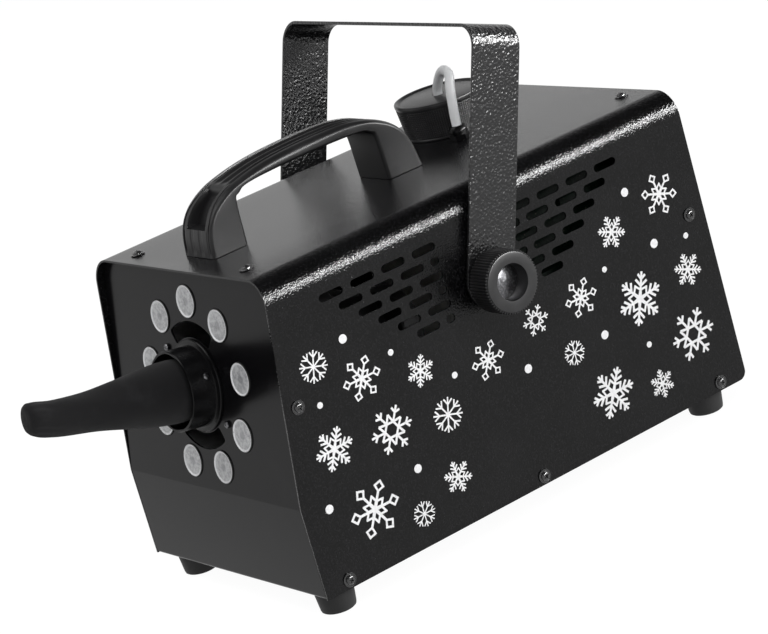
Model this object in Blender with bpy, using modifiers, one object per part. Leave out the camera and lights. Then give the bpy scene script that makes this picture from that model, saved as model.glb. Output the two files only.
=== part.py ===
# Snow machine for stage use: a folded steel box on rubber feet with a blower, a fluid tank, a pump and a
# ring of nine lamps round the nozzle, a carrying handle on top and a yoke that tilts on two clamp knobs.
# Metres, +Z up. The nozzle blows towards -Y. The origin is under the middle of the whole machine.
# Most pieces are placed in the box's own frame: y runs back from the foot of the front edge, z up from the
# underside of the box, x to the side with the clamp knob that the viewer of the nozzle has on the left.

import math

import bmesh
import bpy
from mathutils import Matrix, Vector

# Clearances
GAP = 0.0003                  # between pieces that touch
RUN = 0.0006                  # round pieces that turn or slide

# Box
BODY_W = 0.190
BODY_L = 0.327
BODY_H = 0.187
SHEET = 0.0012
BEND_R = 0.0155               # outer radius along the cover's two long top edges
FOLD_Z = 0.0557               # where the front turns from upright to leaning
COVER_LEAN = 0.018            # how far the cover's front edge stands back at the top
PANEL_LEAN = 0.0235           # how far the front panel stands back at the top
REAR_RECESS = 0.001
CORNER_R = 0.0055             # cover's lower rear corners
FLANGE = 0.020
BASE_FLANGE = 0.013
FLANGE_FOOT = 0.015           # where the upright flanges start

# Feet
FOOT_H = 0.0154
FOOT_TOP_R = 0.0122
FOOT_R = 0.0105
FOOT_SIDE_INSET = 0.0195      # from the case's side
FOOT_INSET = 0.0165           # front feet behind the front edge
FOOT_REAR_INSET = 0.0215

# Screws
SCREW_R = 0.0015
SCREW_LENGTH = 0.007
SCREW_FLANGE_R = 0.0036
SCREW_HEAD_H = 0.0021
SIDE_INSET = 0.0172           # front side screws behind the front edge
SIDE_LOW_Z = 0.0053
SIDE_MID_DROP = 0.075         # below the top
SIDE_REAR_LOW = 0.0207        # in front of the rear edge
SIDE_REAR_MID = 0.0120
TOP_SIDE_INSET = 0.0344
TOP_FRONT_INSET = 0.0125      # behind the cover's top front edge
TOP_REAR_INSET = 0.0130

# Vent slots, mirrored about the pivot
SLOT_LENGTH = 0.0168
SLOT_WIDTH = 0.0048
SLOT_PITCH = 0.0223
SLOT_ROW_PITCH = 0.00885
SLOT_DROP = 0.0234            # first row below the top
SLOT_INNER = 0.0358           # pivot to the nearest full slot of the first row
SLOT_COUNTS = (4, 3, 3, 2, 2, 1)
SHORT_SLOT_Y = 0.0305
SHORT_SLOT_LENGTH = 0.0065
SLOT_END_STEPS = 3

# Nozzle group, on the axis square to the leaning front panel
NOZZLE_UP = 0.0628            # from the fold, along the panel
LED_COUNT = 9
LED_DUCT_GAP = 0.0004         # lens flanges outside the duct
LENS_R = 0.0100
LENS_LIP = 0.0006             # flange behind the panel, wider than the lens
LENS_PROUD = 0.0008
LENS_DEPTH = 0.011
LED_BOARD_T = 0.0016
LED_BOARD_RIM = 0.0015
KIDNEY_IN_R = 0.0285
KIDNEY_OUT_R = 0.0383
KIDNEY_HALF_ANGLE = math.radians(37)
MOUTH_GAP = 0.0006            # panel's mouth inside the collar's bore
COLLAR_R = 0.0240
COLLAR_WALL = 0.0016
COLLAR_LENGTH = 0.018
COLLAR_FLANGE_R = 0.0276
COLLAR_FLANGE_T = 0.0018
DUCT_GAP = 0.0001             # duct's bore outside the air slots
DUCT_WALL = 0.0006
DUCT_LENGTH = 0.040
HOSE_EXIT = 0.88              # how far along the duct the fluid hose leaves it
NOZZLE_TUBE_R = 0.0160
NOZZLE_TUBE_WALL = 0.0012
NOZZLE_TUBE_OUT = 0.009       # stands out in front of the panel
NOZZLE_TUBE_IN = 0.024
SPIDER_T = 0.003
SPIDER_DEPTH = 0.006
SPRAY_R = 0.0045
SPRAY_LENGTH = 0.026
SPRAY_BARB_R = 0.0020
SOCK_WALL = 0.0012
SOCK_RING_WALL = 0.0010
SOCK_RING_LENGTH = 0.006

# Blower
BLOWER_R = 0.056
BLOWER_DEPTH = 0.036
BLOWER_WALL = 0.0015
MOTOR_R = 0.031
MOTOR_LENGTH = 0.062
MOTOR_NECK_R = 0.018
EYE_R = 0.030                 # air intake round the motor's neck
IMPELLER_R = 0.051
IMPELLER_BLADES = 9
BLADE_H = 0.016
BLADE_CLEARANCE = 0.003
SHAFT_R = 0.003
BRACKET_T = 0.0015
BRACKET_W = 0.086
BRACKET_FOOT = 0.028
BRACKET_TOP = 0.030           # above the motor's axis

# Tank, cap and tube
TANK_SIDE_GAP = 0.0065         # from the case's outside
TANK_REAR_GAP = 0.023
TANK_TOP_GAP = 0.009
TANK_W = 0.0785
TANK_L = 0.107
TANK_WALL = 0.0025
CAP_SIDE_INSET = 0.0614        # cap's axis from the case's side
CAP_REAR_INSET = 0.0783
CAP_R = 0.0270
CAP_H = 0.0235
CAP_LID = 0.0035
NECK_R = 0.0205
NECK_WALL = 0.0025
TUBE_R = 0.0027
GLAND_X = 0.0
GLAND_REAR_INSET = 0.0935
GLAND_H = 0.0092
GLAND_R = 0.0062
GLAND_STEM_R = 0.0042

# Pump and hose
PUMP_REAR_INSET = 0.095
PUMP_X = 0.034
PUMP_MOTOR_R = 0.0125
PUMP_MOTOR_LENGTH = 0.030
PUMP_HEAD = (0.026, 0.020, 0.028)
PORT_R = 0.0026
PORT_LENGTH = 0.008
HOSE_R = 0.0022

# Control board
BOARD_SIZE = (0.0016, 0.088, 0.072)
BOARD_SIDE_INSET = 0.019
BOARD_REAR_INSET = 0.084
BOARD_DROP = 0.059
STANDOFF = 0.006
BOARD_FOOT = 0.014

# Rear fittings, measured across from the middle and up from the underside
REAR_FITTING_X = 0.046
INLET_Z = 0.040
INLET_FACE = (0.031, 0.043)
INLET_BODY = (0.0275, 0.038)
INLET_DEPTH = 0.024
SOCKET_SIZE = (0.0240, 0.0165)
SOCKET_DEPTH = 0.018
SOCKET_DROP = 0.0075
PIN_SIZE = (0.0020, 0.0040)
PIN_LENGTH = 0.011
PIN_PITCH = 0.0070
DRAWER_SIZE = (0.0215, 0.0085)
DRAWER_DEPTH = 0.016
DRAWER_LIFT = 0.0120
SWITCH_Z = 0.090
SWITCH_FACE = (0.0150, 0.0210)
SWITCH_BODY = (0.0130, 0.0190)
SWITCH_DEPTH = 0.016
ROCKER_SIZE = (0.0094, 0.0152)
ROCKER_TILT = math.radians(12)
LEVEL_Z = 0.136
LEVEL_KNOB_R = 0.0090
LEVEL_KNOB_H = 0.0140
LEVEL_SHAFT_R = 0.0030
LEVEL_POT_R = 0.0085
LEVEL_POT_DEPTH = 0.010
FACE_T = 0.0022

# Handle
HANDLE_W = 0.033
HANDLE_FRONT_Y = 0.0367
HANDLE_LENGTH = 0.154
HANDLE_LEG = 0.0248
HANDLE_RISE = 0.0415
HANDLE_GAP_RISE = 0.0345      # top face to the underside of the grip
HANDLE_EDGE_R = 0.0022

# Yoke and clamp knobs
PIVOT_FORWARD = 0.0025        # in front of the middle of the box
PIVOT_DROP = 0.0552
YOKE_GAP = 0.0036             # between the box and the yoke
YOKE_T = 0.0020
YOKE_W = 0.0333
YOKE_H = 0.1467               # pivot to the top of the strap
YOKE_BEND_R = 0.012
YOKE_LEAN = math.radians(20.2)
STUD_R = 0.0040
INSERT_R = 0.0080
INSERT_LENGTH = 0.008
SPACER_R = 0.0110
KNOB_R = 0.0182
KNOB_H = 0.0206
KNOB_HUB_R = 0.0110
KNOB_HUB_H = 0.0030
KNOB_DISH_R = 0.0108
KNOB_DISH_DEPTH = 0.0047
KNOB_CONE_DEPTH = 0.0018

# Worked out from the sizes above
INNER_X = BODY_W / 2 - SHEET
CHASSIS_X = INNER_X - GAP
INNER_TOP = BODY_H - SHEET - GAP
FOOT_X = BODY_W / 2 - FOOT_SIDE_INSET
SIDE_MID_Z = BODY_H - SIDE_MID_DROP
TOP_SCREW_X = BODY_W / 2 - TOP_SIDE_INSET
SLOT_TOP_Z = BODY_H - SLOT_DROP
DUCT_R = KIDNEY_OUT_R + DUCT_GAP + DUCT_WALL
LENS_FLANGE_R = LENS_R + LENS_LIP
LED_RING_R = DUCT_R + LED_DUCT_GAP + LENS_FLANGE_R
LED_BOARD_R = LED_RING_R + LENS_R + LED_BOARD_RIM
MOUTH_R = COLLAR_R - COLLAR_WALL - MOUTH_GAP
TANK_X = (TANK_SIDE_GAP - BODY_W / 2, TANK_SIDE_GAP - BODY_W / 2 + TANK_W)
TANK_Y = (BODY_L - TANK_REAR_GAP - TANK_L, BODY_L - TANK_REAR_GAP)
TANK_TOP = BODY_H - TANK_TOP_GAP
CAP_X = CAP_SIDE_INSET - BODY_W / 2
CAP_Y = BODY_L - CAP_REAR_INSET
GLAND_Y = BODY_L - GLAND_REAR_INSET
PUMP_Y = BODY_L - PUMP_REAR_INSET
BOARD_X = BODY_W / 2 - BOARD_SIDE_INSET
BOARD_Y = BODY_L - BOARD_REAR_INSET
BOARD_Z = BODY_H - BOARD_DROP
PIVOT_Y = BODY_L / 2 - PIVOT_FORWARD
PIVOT_Z = BODY_H - PIVOT_DROP
YOKE_OUTER_X = BODY_W / 2 + YOKE_GAP + YOKE_T
PANEL_ANGLE = math.atan2(PANEL_LEAN, BODY_H - FOLD_Z)
REAR_Y = BODY_L - REAR_RECESS
FLOOR_Z = SHEET + GAP
NOZZLE_Y = NOZZLE_UP * math.sin(PANEL_ANGLE)
NOZZLE_Z = FOLD_Z + NOZZLE_UP * math.cos(PANEL_ANGLE)
NECK_TOP = BODY_H + CAP_H - CAP_LID - GAP

for leftover in list(bpy.data.objects):
    bpy.data.objects.remove(leftover, do_unlink=True)

parts = bpy.data.collections.new("snow_machine")
cutters = bpy.data.collections.new("cutters")
bpy.context.scene.collection.children.link(parts)
bpy.context.scene.collection.children.link(cutters)


def finish(name, color, roughness, metallic=0.0):
    """A plain Principled material."""
    material = bpy.data.materials.new(name)
    material.use_nodes = True
    shader = material.node_tree.nodes["Principled BSDF"]
    shader.inputs["Base Color"].default_value = (*color, 1.0)
    shader.inputs["Roughness"].default_value = roughness
    shader.inputs["Metallic"].default_value = metallic
    return material


POWDER_COAT = finish("textured_powder_coat", (0.018, 0.018, 0.020), 0.45)
SMOOTH_COAT = finish("smooth_black_coat", (0.030, 0.030, 0.032), 0.35)
BLACK_PLASTIC = finish("black_plastic", (0.025, 0.025, 0.027), 0.40)
RUBBER = finish("rubber", (0.020, 0.020, 0.020), 0.80)
FABRIC = finish("black_mesh_fabric", (0.015, 0.015, 0.017), 0.95)
ZINC = finish("zinc_plated_steel", (0.55, 0.55, 0.57), 0.35, 1.0)
BLACK_SCREW = finish("black_zinc_screw", (0.08, 0.08, 0.085), 0.30, 1.0)
BRASS = finish("brass", (0.60, 0.42, 0.15), 0.30, 1.0)
LENS = finish("frosted_lens", (0.75, 0.77, 0.80), 0.25)
BOARD_GREEN = finish("circuit_board", (0.03, 0.20, 0.08), 0.50)
NATURAL_PLASTIC = finish("natural_tank_plastic", (0.80, 0.80, 0.76), 0.45)
SILICONE = finish("white_silicone", (0.80, 0.82, 0.84), 0.35)
GREY_PLASTIC = finish("grey_plastic", (0.20, 0.20, 0.21), 0.45)


def empty(name, location, rotation=(0, 0, 0), parent=None):
    """A frame that pieces are placed in."""
    frame = bpy.data.objects.new(name, None)
    frame.location = location
    frame.rotation_euler = rotation
    frame.parent = parent
    parts.objects.link(frame)
    return frame


# Frames: the box, the nozzle (local +Z blows out), the rear panel (local +Z points back, local +Y up) and
# the two ends of the yoke's pivot (local +Z points outwards)
machine = empty("machine", (0, 0, FOOT_H))
nozzle_axis = empty("nozzle_axis", (0, NOZZLE_Y, NOZZLE_Z), (math.pi / 2 - PANEL_ANGLE, 0, 0), machine)
rear_face = empty("rear_face", (0, REAR_Y, 0), (math.pi / 2, 0, math.pi), machine)
pivot_right = empty("pivot_right", (0, PIVOT_Y, PIVOT_Z), (0, math.pi / 2, 0), machine)
pivot_left = empty("pivot_left", (0, PIVOT_Y, PIVOT_Z), (0, -math.pi / 2, 0), machine)


def place(name, mesh, material, parent=machine, location=(0, 0, 0), rotation=(0, 0, 0)):
    """Put a mesh in the machine as a named piece, or among the cutters when it has no material."""
    piece = bpy.data.objects.new(name, mesh)
    piece.location = location
    piece.rotation_euler = rotation
    piece.parent = parent
    if material is None:
        cutters.objects.link(piece)
        piece.hide_render = True
        piece.display_type = "WIRE"
    else:
        parts.objects.link(piece)
        if not mesh.materials:
            mesh.materials.append(material)
    return piece


def mesh_from(bm, name, smooth=False):
    """Close a bmesh into mesh data with its faces pointing out."""
    bmesh.ops.recalc_face_normals(bm, faces=bm.faces)
    mesh = bpy.data.meshes.new(name)
    bm.to_mesh(mesh)
    bm.free()
    if smooth:
        mesh.shade_smooth()
        mesh.set_sharp_from_angle(angle=math.radians(35))
    return mesh


def add_block(bm, low, high):
    """Add a box between two corners to a bmesh."""
    low, high = Vector(low), Vector(high)
    middle = Matrix.Translation((low + high) / 2)
    bmesh.ops.create_cube(bm, size=1.0, matrix=middle @ Matrix.Diagonal((*(high - low), 1.0)))


def block(name, low, high, material, bevel=0.0, **where):
    """A box between two corners, with rounded edges if bevel is given."""
    bm = bmesh.new()
    add_block(bm, low, high)
    piece = place(name, mesh_from(bm, name), material, **where)
    if bevel:
        rounding = piece.modifiers.new("rounded_edges", "BEVEL")
        rounding.width = bevel
        rounding.segments = 2
    return piece


def blocks(name, corners, material=None, **where):
    """Several separate boxes in one mesh, for cuts and joins."""
    bm = bmesh.new()
    for low, high in corners:
        add_block(bm, low, high)
    return place(name, mesh_from(bm, name), material, **where)


def add_rod(bm, radius, start, end, steps=24):
    """Add a closed cylinder between two points to a bmesh."""
    start, end = Vector(start), Vector(end)
    along = end - start
    turn = Vector((0, 0, 1)).rotation_difference(along.normalized()).to_matrix().to_4x4()
    middle = Matrix.Translation((start + end) / 2)
    bmesh.ops.create_cone(bm, cap_ends=True, segments=steps, radius1=radius, radius2=radius,
                          depth=along.length, matrix=middle @ turn)


def rods(name, radius, spans, material=None, steps=24, **where):
    """Several separate cylinders of one radius in one mesh."""
    bm = bmesh.new()
    for start, end in spans:
        add_rod(bm, radius, start, end, steps)
    return place(name, mesh_from(bm, name, smooth=True), material, **where)


def prism(name, outline, axis, low, high, material, **where):
    """A flat outline pushed along an axis. Across x the outline is (y, z), across y (x, z), across z (x, y)."""
    bm = bmesh.new()
    if axis == "x":
        corners = [bm.verts.new((low, u, v)) for u, v in outline]
        push = Vector((high - low, 0, 0))
    elif axis == "y":
        corners = [bm.verts.new((u, low, v)) for u, v in outline]
        push = Vector((0, high - low, 0))
    else:
        corners = [bm.verts.new((u, v, low)) for u, v in outline]
        push = Vector((0, 0, high - low))
    face = bm.faces.new(corners)
    pushed = bmesh.ops.extrude_face_region(bm, geom=[face])
    moved = [item for item in pushed["geom"] if isinstance(item, bmesh.types.BMVert)]
    bmesh.ops.translate(bm, verts=moved, vec=push)
    return place(name, mesh_from(bm, name), material, **where)


def turned(name, profile, material, steps=32, ring=False, **where):
    """A profile of (radius, height) points, outer side downwards, turned about the local Z axis."""
    mesh = bpy.data.meshes.new(name)
    edges = [(i, i + 1) for i in range(len(profile) - 1)]
    if ring:
        edges.append((len(profile) - 1, 0))
    mesh.from_pydata([(radius, 0, height) for radius, height in profile], edges, [])
    piece = place(name, mesh, material, **where)
    spin = piece.modifiers.new("turning", "SCREW")
    spin.steps = steps
    spin.render_steps = steps
    spin.use_merge_vertices = True
    spin.merge_threshold = 0.00001
    spin.use_smooth_shade = True
    return piece


def boolean(piece, tool, operation):
    """Add a Boolean modifier that cuts with, or joins, another object."""
    change = piece.modifiers.new(tool.name, "BOOLEAN")
    change.object = tool
    change.operation = operation
    change.solver = "EXACT"


def cut(piece, *tools):
    for tool in tools:
        boolean(piece, tool, "DIFFERENCE")


def join(piece, *tools):
    for tool in tools:
        boolean(piece, tool, "UNION")


def rounded_path(corners, radius, steps=4):
    """The corners of an open 2D path with an arc of one radius in place of each inner corner."""
    path = [Vector(corners[0])]
    for before, corner, after in zip(corners, corners[1:], corners[2:]):
        corner = Vector(corner)
        way_in = (corner - Vector(before)).normalized()
        way_out = (Vector(after) - corner).normalized()
        turn = way_in.angle_signed(way_out)
        setback = radius * math.tan(abs(turn) / 2)
        start = corner - way_in * setback
        side = Vector((way_in.y, -way_in.x)) * math.copysign(1, turn)
        centre = start + side * radius
        for step in range(steps + 1):
            arm = (start - centre)
            arm.rotate(Matrix.Rotation(-turn * step / steps, 2))
            path.append(centre + arm)
    path.append(Vector(corners[-1]))
    return path


def folded_sheet(name, path, across, low, high, thickness, inside, material, **where):
    """Sheet metal: an open path pushed across x or y, thickened to its inside."""
    bm = bmesh.new()
    if across == "x":
        verts = [bm.verts.new((low, u, v)) for u, v in path]
        push = Vector((high - low, 0, 0))
    else:
        verts = [bm.verts.new((u, low, v)) for u, v in path]
        push = Vector((0, high - low, 0))
    edges = [bm.edges.new(pair) for pair in zip(verts, verts[1:])]
    pushed = bmesh.ops.extrude_edge_only(bm, edges=edges)
    moved = [item for item in pushed["geom"] if isinstance(item, bmesh.types.BMVert)]
    bmesh.ops.translate(bm, verts=moved, vec=push)
    mesh = bpy.data.meshes.new(name)
    bm.to_mesh(mesh)
    bm.free()
    piece = place(name, mesh, material, **where)
    wall = piece.modifiers.new("sheet", "SOLIDIFY")
    wall.thickness = thickness
    wall.offset = inside
    wall.use_even_offset = True
    return piece


def smooth_route(points, spacing):
    """Points about one spacing apart on a smooth curve through the given ones."""
    points = [Vector(p) for p in points]
    ends = [2 * points[0] - points[1], *points, 2 * points[-1] - points[-2]]
    route = [points[0]]
    for a, b, c, d in zip(ends, ends[1:], ends[2:], ends[3:]):
        pieces = max(1, round((c - b).length / spacing))
        for step in range(1, pieces + 1):
            t = step / pieces
            route.append(0.5 * (2 * b + (c - a) * t + (2 * a - 5 * b + 4 * c - d) * t ** 2
                                + (3 * b - a - 3 * c + d) * t ** 3))
    return route


def hose(name, route, radius, material, parent=machine):
    """A round tube along a route of points."""
    data = bpy.data.curves.new(name, "CURVE")
    data.dimensions = "3D"
    data.bevel_depth = radius
    data.bevel_resolution = 2
    data.use_fill_caps = True
    line = data.splines.new("POLY")
    line.points.add(len(route) - 1)
    for point, position in zip(line.points, route):
        point.co = (*position, 1.0)
    data.materials.append(material)
    tube = bpy.data.objects.new(name, data)
    tube.parent = parent
    parts.objects.link(tube)
    return tube


def circle(radius, steps, centre=(0, 0)):
    """Points round a circle."""
    return [(centre[0] + radius * math.cos(2 * math.pi * i / steps),
             centre[1] + radius * math.sin(2 * math.pi * i / steps)) for i in range(steps)]


# Holes that the cover and the chassis share
side_screws = {
    "front_mid": (SIDE_INSET, SIDE_MID_Z),
    "front_low": (SIDE_INSET, SIDE_LOW_Z),
    "middle_low": (BODY_L / 2, SIDE_LOW_Z),
    "rear_low": (BODY_L - SIDE_REAR_LOW, SIDE_LOW_Z),
    "rear_mid": (BODY_L - SIDE_REAR_MID, SIDE_MID_Z),
}
top_screws = {
    "front": COVER_LEAN + TOP_FRONT_INSET,
    "rear": BODY_L - TOP_REAR_INSET,
}
side_holes = rods("side_screw_holes", SCREW_R + GAP,
                  [((-BODY_W, y, z), (BODY_W, y, z)) for y, z in side_screws.values()], steps=8)
top_holes = rods("top_screw_holes", SCREW_R + GAP,
                 [((x, y, BODY_H - FLANGE), (x, y, BODY_H + FLANGE))
                  for x in (-TOP_SCREW_X, TOP_SCREW_X) for y in top_screws.values()], steps=8)


def slot_outline(y, z, length):
    """An obround slot lying along y."""
    radius = SLOT_WIDTH / 2
    reach = length / 2 - radius
    outline = []
    for side in (1, -1):
        for step in range(SLOT_END_STEPS + 1):
            angle = side * (-math.pi / 2 + math.pi * step / SLOT_END_STEPS)
            outline.append((y + side * (reach + radius * math.cos(angle)), z + radius * math.sin(angle)))
    return outline


def vent_outlines():
    """Six rows of slots either side of the pivot, in a triangle that points down."""
    outlines = []
    for row, count in enumerate(SLOT_COUNTS):
        z = SLOT_TOP_Z - row * SLOT_ROW_PITCH
        first = SLOT_INNER + (row % 2) * SLOT_PITCH / 2
        offsets = [(first + i * SLOT_PITCH, SLOT_LENGTH) for i in range(count)]
        if row % 2:
            offsets.append((SHORT_SLOT_Y, SHORT_SLOT_LENGTH))
        for offset, length in offsets:
            outlines.append(slot_outline(PIVOT_Y + offset, z, length))
            outlines.append(slot_outline(PIVOT_Y - offset, z, length))
    return outlines


def slot_cutter():
    """Every vent slot as one prism right across the box."""
    bm = bmesh.new()
    for outline in vent_outlines():
        face = bm.faces.new([bm.verts.new((-BODY_W, y, z)) for y, z in outline])
        pushed = bmesh.ops.extrude_face_region(bm, geom=[face])
        moved = [item for item in pushed["geom"] if isinstance(item, bmesh.types.BMVert)]
        bmesh.ops.translate(bm, verts=moved, vec=(2 * BODY_W, 0, 0))
    return place("vent_slots", mesh_from(bm, "vent_slots"), None)


def build_cover():
    """One sheet over the top and down both sides, with threaded inserts pressed in at the pivot."""
    half = BODY_W / 2
    path = rounded_path([(-half, 0), (-half, BODY_H), (half, BODY_H), (half, 0)], BEND_R, 5)
    cover = folded_sheet("cover", path, "y", 0, BODY_L, SHEET, 1, POWDER_COAT)
    lean = COVER_LEAN / (BODY_H - FOLD_Z)
    above = BODY_H + FLANGE
    front = prism("front_lean", [(-FLANGE, FOLD_Z), (0, FOLD_Z), (lean * (above - FOLD_Z), above),
                                 (-FLANGE, above)], "x", -BODY_W, BODY_W, None)
    corner = [(BODY_L + FLANGE, -FLANGE), (BODY_L + FLANGE, CORNER_R)]
    for step in range(7):
        angle = math.pi / 2 * step / 6
        corner.append((BODY_L - CORNER_R + CORNER_R * math.cos(angle), CORNER_R - CORNER_R * math.sin(angle)))
    corner.append((BODY_L - CORNER_R, -FLANGE))
    rear = prism("rear_corner", corner, "x", -BODY_W, BODY_W, None)
    openings = rods("cover_top_openings", NECK_R + RUN,
                    [((CAP_X, CAP_Y, BODY_H - FLANGE), (CAP_X, CAP_Y, BODY_H + FLANGE))], steps=24)
    gland_hole = rods("gland_hole", GLAND_STEM_R + GAP,
                      [((GLAND_X, GLAND_Y, BODY_H - FLANGE), (GLAND_X, GLAND_Y, BODY_H + FLANGE))], steps=16)
    inside = INNER_X - INSERT_LENGTH
    inserts = rods("pivot_inserts", INSERT_R,
                   [((side * inside, PIVOT_Y, PIVOT_Z), (side * (half - SHEET / 2), PIVOT_Y, PIVOT_Z))
                    for side in (1, -1)], steps=20)
    bores = rods("pivot_bores", STUD_R + GAP,
                 [((-BODY_W, PIVOT_Y, PIVOT_Z), (BODY_W, PIVOT_Y, PIVOT_Z))], steps=20)
    cut(cover, front, rear, slot_cutter(), side_holes, top_holes, openings, gland_hole)
    join(cover, inserts)
    cut(cover, bores)


def arc_slot(inner, outer, middle, half_angle, steps=6):
    """A kidney-shaped outline about the nozzle's axis."""
    sweep = [middle - half_angle + 2 * half_angle * i / steps for i in range(steps + 1)]
    outline = [(outer * math.cos(a), outer * math.sin(a)) for a in sweep]
    outline += [(inner * math.cos(a), inner * math.sin(a)) for a in reversed(sweep)]
    return outline


def lamp_places():
    """Centres of the nine lamps in the nozzle's frame, the first one at the top."""
    return [(LED_RING_R * math.sin(2 * math.pi * i / LED_COUNT),
             LED_RING_R * math.cos(2 * math.pi * i / LED_COUNT)) for i in range(LED_COUNT)]


def panel_y(z):
    """The front panel's outer face at a height."""
    return max(0.0, z - FOLD_Z) * math.tan(PANEL_ANGLE)


def build_chassis():
    """Front panel, base and rear panel from one sheet, with flanges that the cover is screwed to."""
    top_y = panel_y(INNER_TOP)
    path = rounded_path([(top_y + FLANGE, INNER_TOP), (top_y, INNER_TOP), (0, FOLD_Z), (0, 0), (REAR_Y, 0),
                         (REAR_Y, INNER_TOP), (REAR_Y - FLANGE, INNER_TOP)], 0.002, 3)
    chassis = folded_sheet("chassis", path, "x", -CHASSIS_X, CHASSIS_X, SHEET, 1, SMOOTH_COAT)
    inset = SHEET / 2
    top = BODY_H - BEND_R - SHEET
    front = [(inset, FLANGE_FOOT), (inset, FOLD_Z), (panel_y(top) + inset, top),
             (panel_y(top) + FLANGE, top), (FLANGE, FOLD_Z), (FLANGE, FLANGE_FOOT)]
    rear = [(REAR_Y - FLANGE, FLANGE_FOOT), (REAR_Y - inset, FLANGE_FOOT), (REAR_Y - inset, top),
            (REAR_Y - FLANGE, top)]
    base = [(FLANGE / 2, inset), (REAR_Y - FLANGE / 2, inset), (REAR_Y - FLANGE / 2, BASE_FLANGE),
            (FLANGE / 2, BASE_FLANGE)]
    for side, name in ((1, "right"), (-1, "left")):
        low, high = sorted((side * (CHASSIS_X - SHEET), side * CHASSIS_X))
        for outline, kind in ((front, "front"), (rear, "rear"), (base, "base")):
            join(chassis, prism(f"{kind}_flange_{name}", outline, "x", low, high, None))
    radius = BEND_R - SHEET - GAP
    for side, name in ((1, "right"), (-1, "left")):
        corner = [(side * (CHASSIS_X + FLANGE), INNER_TOP - radius)]
        for step in range(7):
            angle = math.pi / 2 * step / 6
            corner.append((side * (CHASSIS_X - radius + radius * math.cos(angle)),
                           INNER_TOP - radius + radius * math.sin(angle)))
        corner += [(side * (CHASSIS_X - radius), INNER_TOP + FLANGE),
                   (side * (CHASSIS_X + FLANGE), INNER_TOP + FLANGE)]
        cut(chassis, prism(f"bend_clearance_{name}", corner, "y", -FLANGE, BODY_L + FLANGE, None))
    depth = FLANGE / 2
    cut(chassis, side_holes, top_holes)
    cut(chassis, prism("nozzle_mouth", circle(MOUTH_R, 28), "z", -depth, depth, None, parent=nozzle_axis))
    for middle, name in ((math.pi / 2, "upper"), (-math.pi / 2, "lower")):
        outline = arc_slot(KIDNEY_IN_R, KIDNEY_OUT_R, middle, KIDNEY_HALF_ANGLE)
        cut(chassis, prism(f"{name}_air_slot", outline, "z", -depth, depth, None, parent=nozzle_axis))
    cut(chassis, rods("lens_holes", LENS_R + GAP, [((x, y, -depth), (x, y, depth)) for x, y in lamp_places()],
                      steps=16, parent=nozzle_axis))
    x = -REAR_FITTING_X
    fittings = [((x - w / 2, z - h / 2, -depth), (x + w / 2, z + h / 2, depth))
                for (w, h), z in ((INLET_BODY, INLET_Z), (SWITCH_BODY, SWITCH_Z))]
    grown = [((low[0] - GAP, low[1] - GAP, low[2]), (high[0] + GAP, high[1] + GAP, high[2]))
             for low, high in fittings]
    cut(chassis, blocks("rear_cutouts", grown, parent=rear_face))
    cut(chassis, rods("level_hole", LEVEL_SHAFT_R + RUN + GAP, [((x, LEVEL_Z, -depth), (x, LEVEL_Z, depth))],
                      steps=16, parent=rear_face))


def build_feet():
    """Four tapered rubber feet, hollowed for their screws."""
    rows = {"front": FOOT_INSET, "rear": BODY_L - FOOT_REAR_INSET}
    profile = [(0, -GAP), (FOOT_TOP_R, -GAP), (FOOT_R, 0.0012 - FOOT_H), (FOOT_R - 0.0012, -FOOT_H),
               (FOOT_R * 0.42, -FOOT_H), (FOOT_R * 0.42, -FOOT_H * 0.4), (0, -FOOT_H * 0.4)]
    for row, y in rows.items():
        for side, name in ((1, "right"), (-1, "left")):
            turned(f"foot_{row}_{name}", profile, RUBBER, 18, location=(side * FOOT_X, y, 0))


def build_screws():
    """Washer-headed machine screws, five a side and four on top."""
    profile = [(0, SCREW_HEAD_H), (0.0016, SCREW_HEAD_H), (0.0026, 0.0009), (SCREW_FLANGE_R, 0.0007), (SCREW_FLANGE_R, GAP), (SCREW_R, GAP),
               (SCREW_R, -SCREW_LENGTH), (0, -SCREW_LENGTH)]
    for side, name in ((1, "right"), (-1, "left")):
        for where, (y, z) in side_screws.items():
            turned(f"side_screw_{name}_{where}", profile, BLACK_SCREW, 8,
                   location=(side * BODY_W / 2, y, z), rotation=(0, side * math.pi / 2, 0))
        for where, y in top_screws.items():
            turned(f"top_screw_{name}_{where}", profile, BLACK_SCREW, 8,
                   location=(side * TOP_SCREW_X, y, BODY_H))


def handle_outline():
    """Side view of the handle, y from its front and z from the top face: out over the top, back below."""
    length, leg = HANDLE_LENGTH, HANDLE_LEG
    over = [(0, 0), (0.0018, 0.0125), (0.0062, 0.0215), (0.0138, 0.0285), (0.0265, 0.0343),
            (0.048, 0.0388), (0.073, 0.0408)]
    outline = [(y, z * HANDLE_RISE / 0.0415) for y, z in over]
    outline += [(length - y, z * HANDLE_RISE / 0.0415) for y, z in
                [(0.052, 0.0412), (0.036, 0.0394), (0.0225, 0.0345), (0.0115, 0.0262), (0.0042, 0.0150), (0, 0)]]
    gap_top = HANDLE_GAP_RISE
    outline += [(length - leg, 0), (length - leg - 0.0012, gap_top - 0.008),
                (length - leg - 0.0045, gap_top - 0.0035), (length - leg - 0.014, gap_top - 0.0008),
                (length / 2, gap_top), (leg + 0.014, gap_top - 0.0012),
                (leg + 0.0045, gap_top - 0.0045), (leg + 0.0012, gap_top - 0.009), (leg, 0)]
    return outline


def build_handle():
    """A moulded carrying handle, square to the top face."""
    outline = [(HANDLE_FRONT_Y + y, BODY_H + GAP + z) for y, z in handle_outline()]
    handle = prism("handle", outline, "x", -HANDLE_W / 2, HANDLE_W / 2, BLACK_PLASTIC)
    rounding = handle.modifiers.new("rounded_edges", "BEVEL")
    rounding.width = HANDLE_EDGE_R
    rounding.segments = 2
    rounding.limit_method = "ANGLE"
    rounding.angle_limit = math.radians(50)


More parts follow.
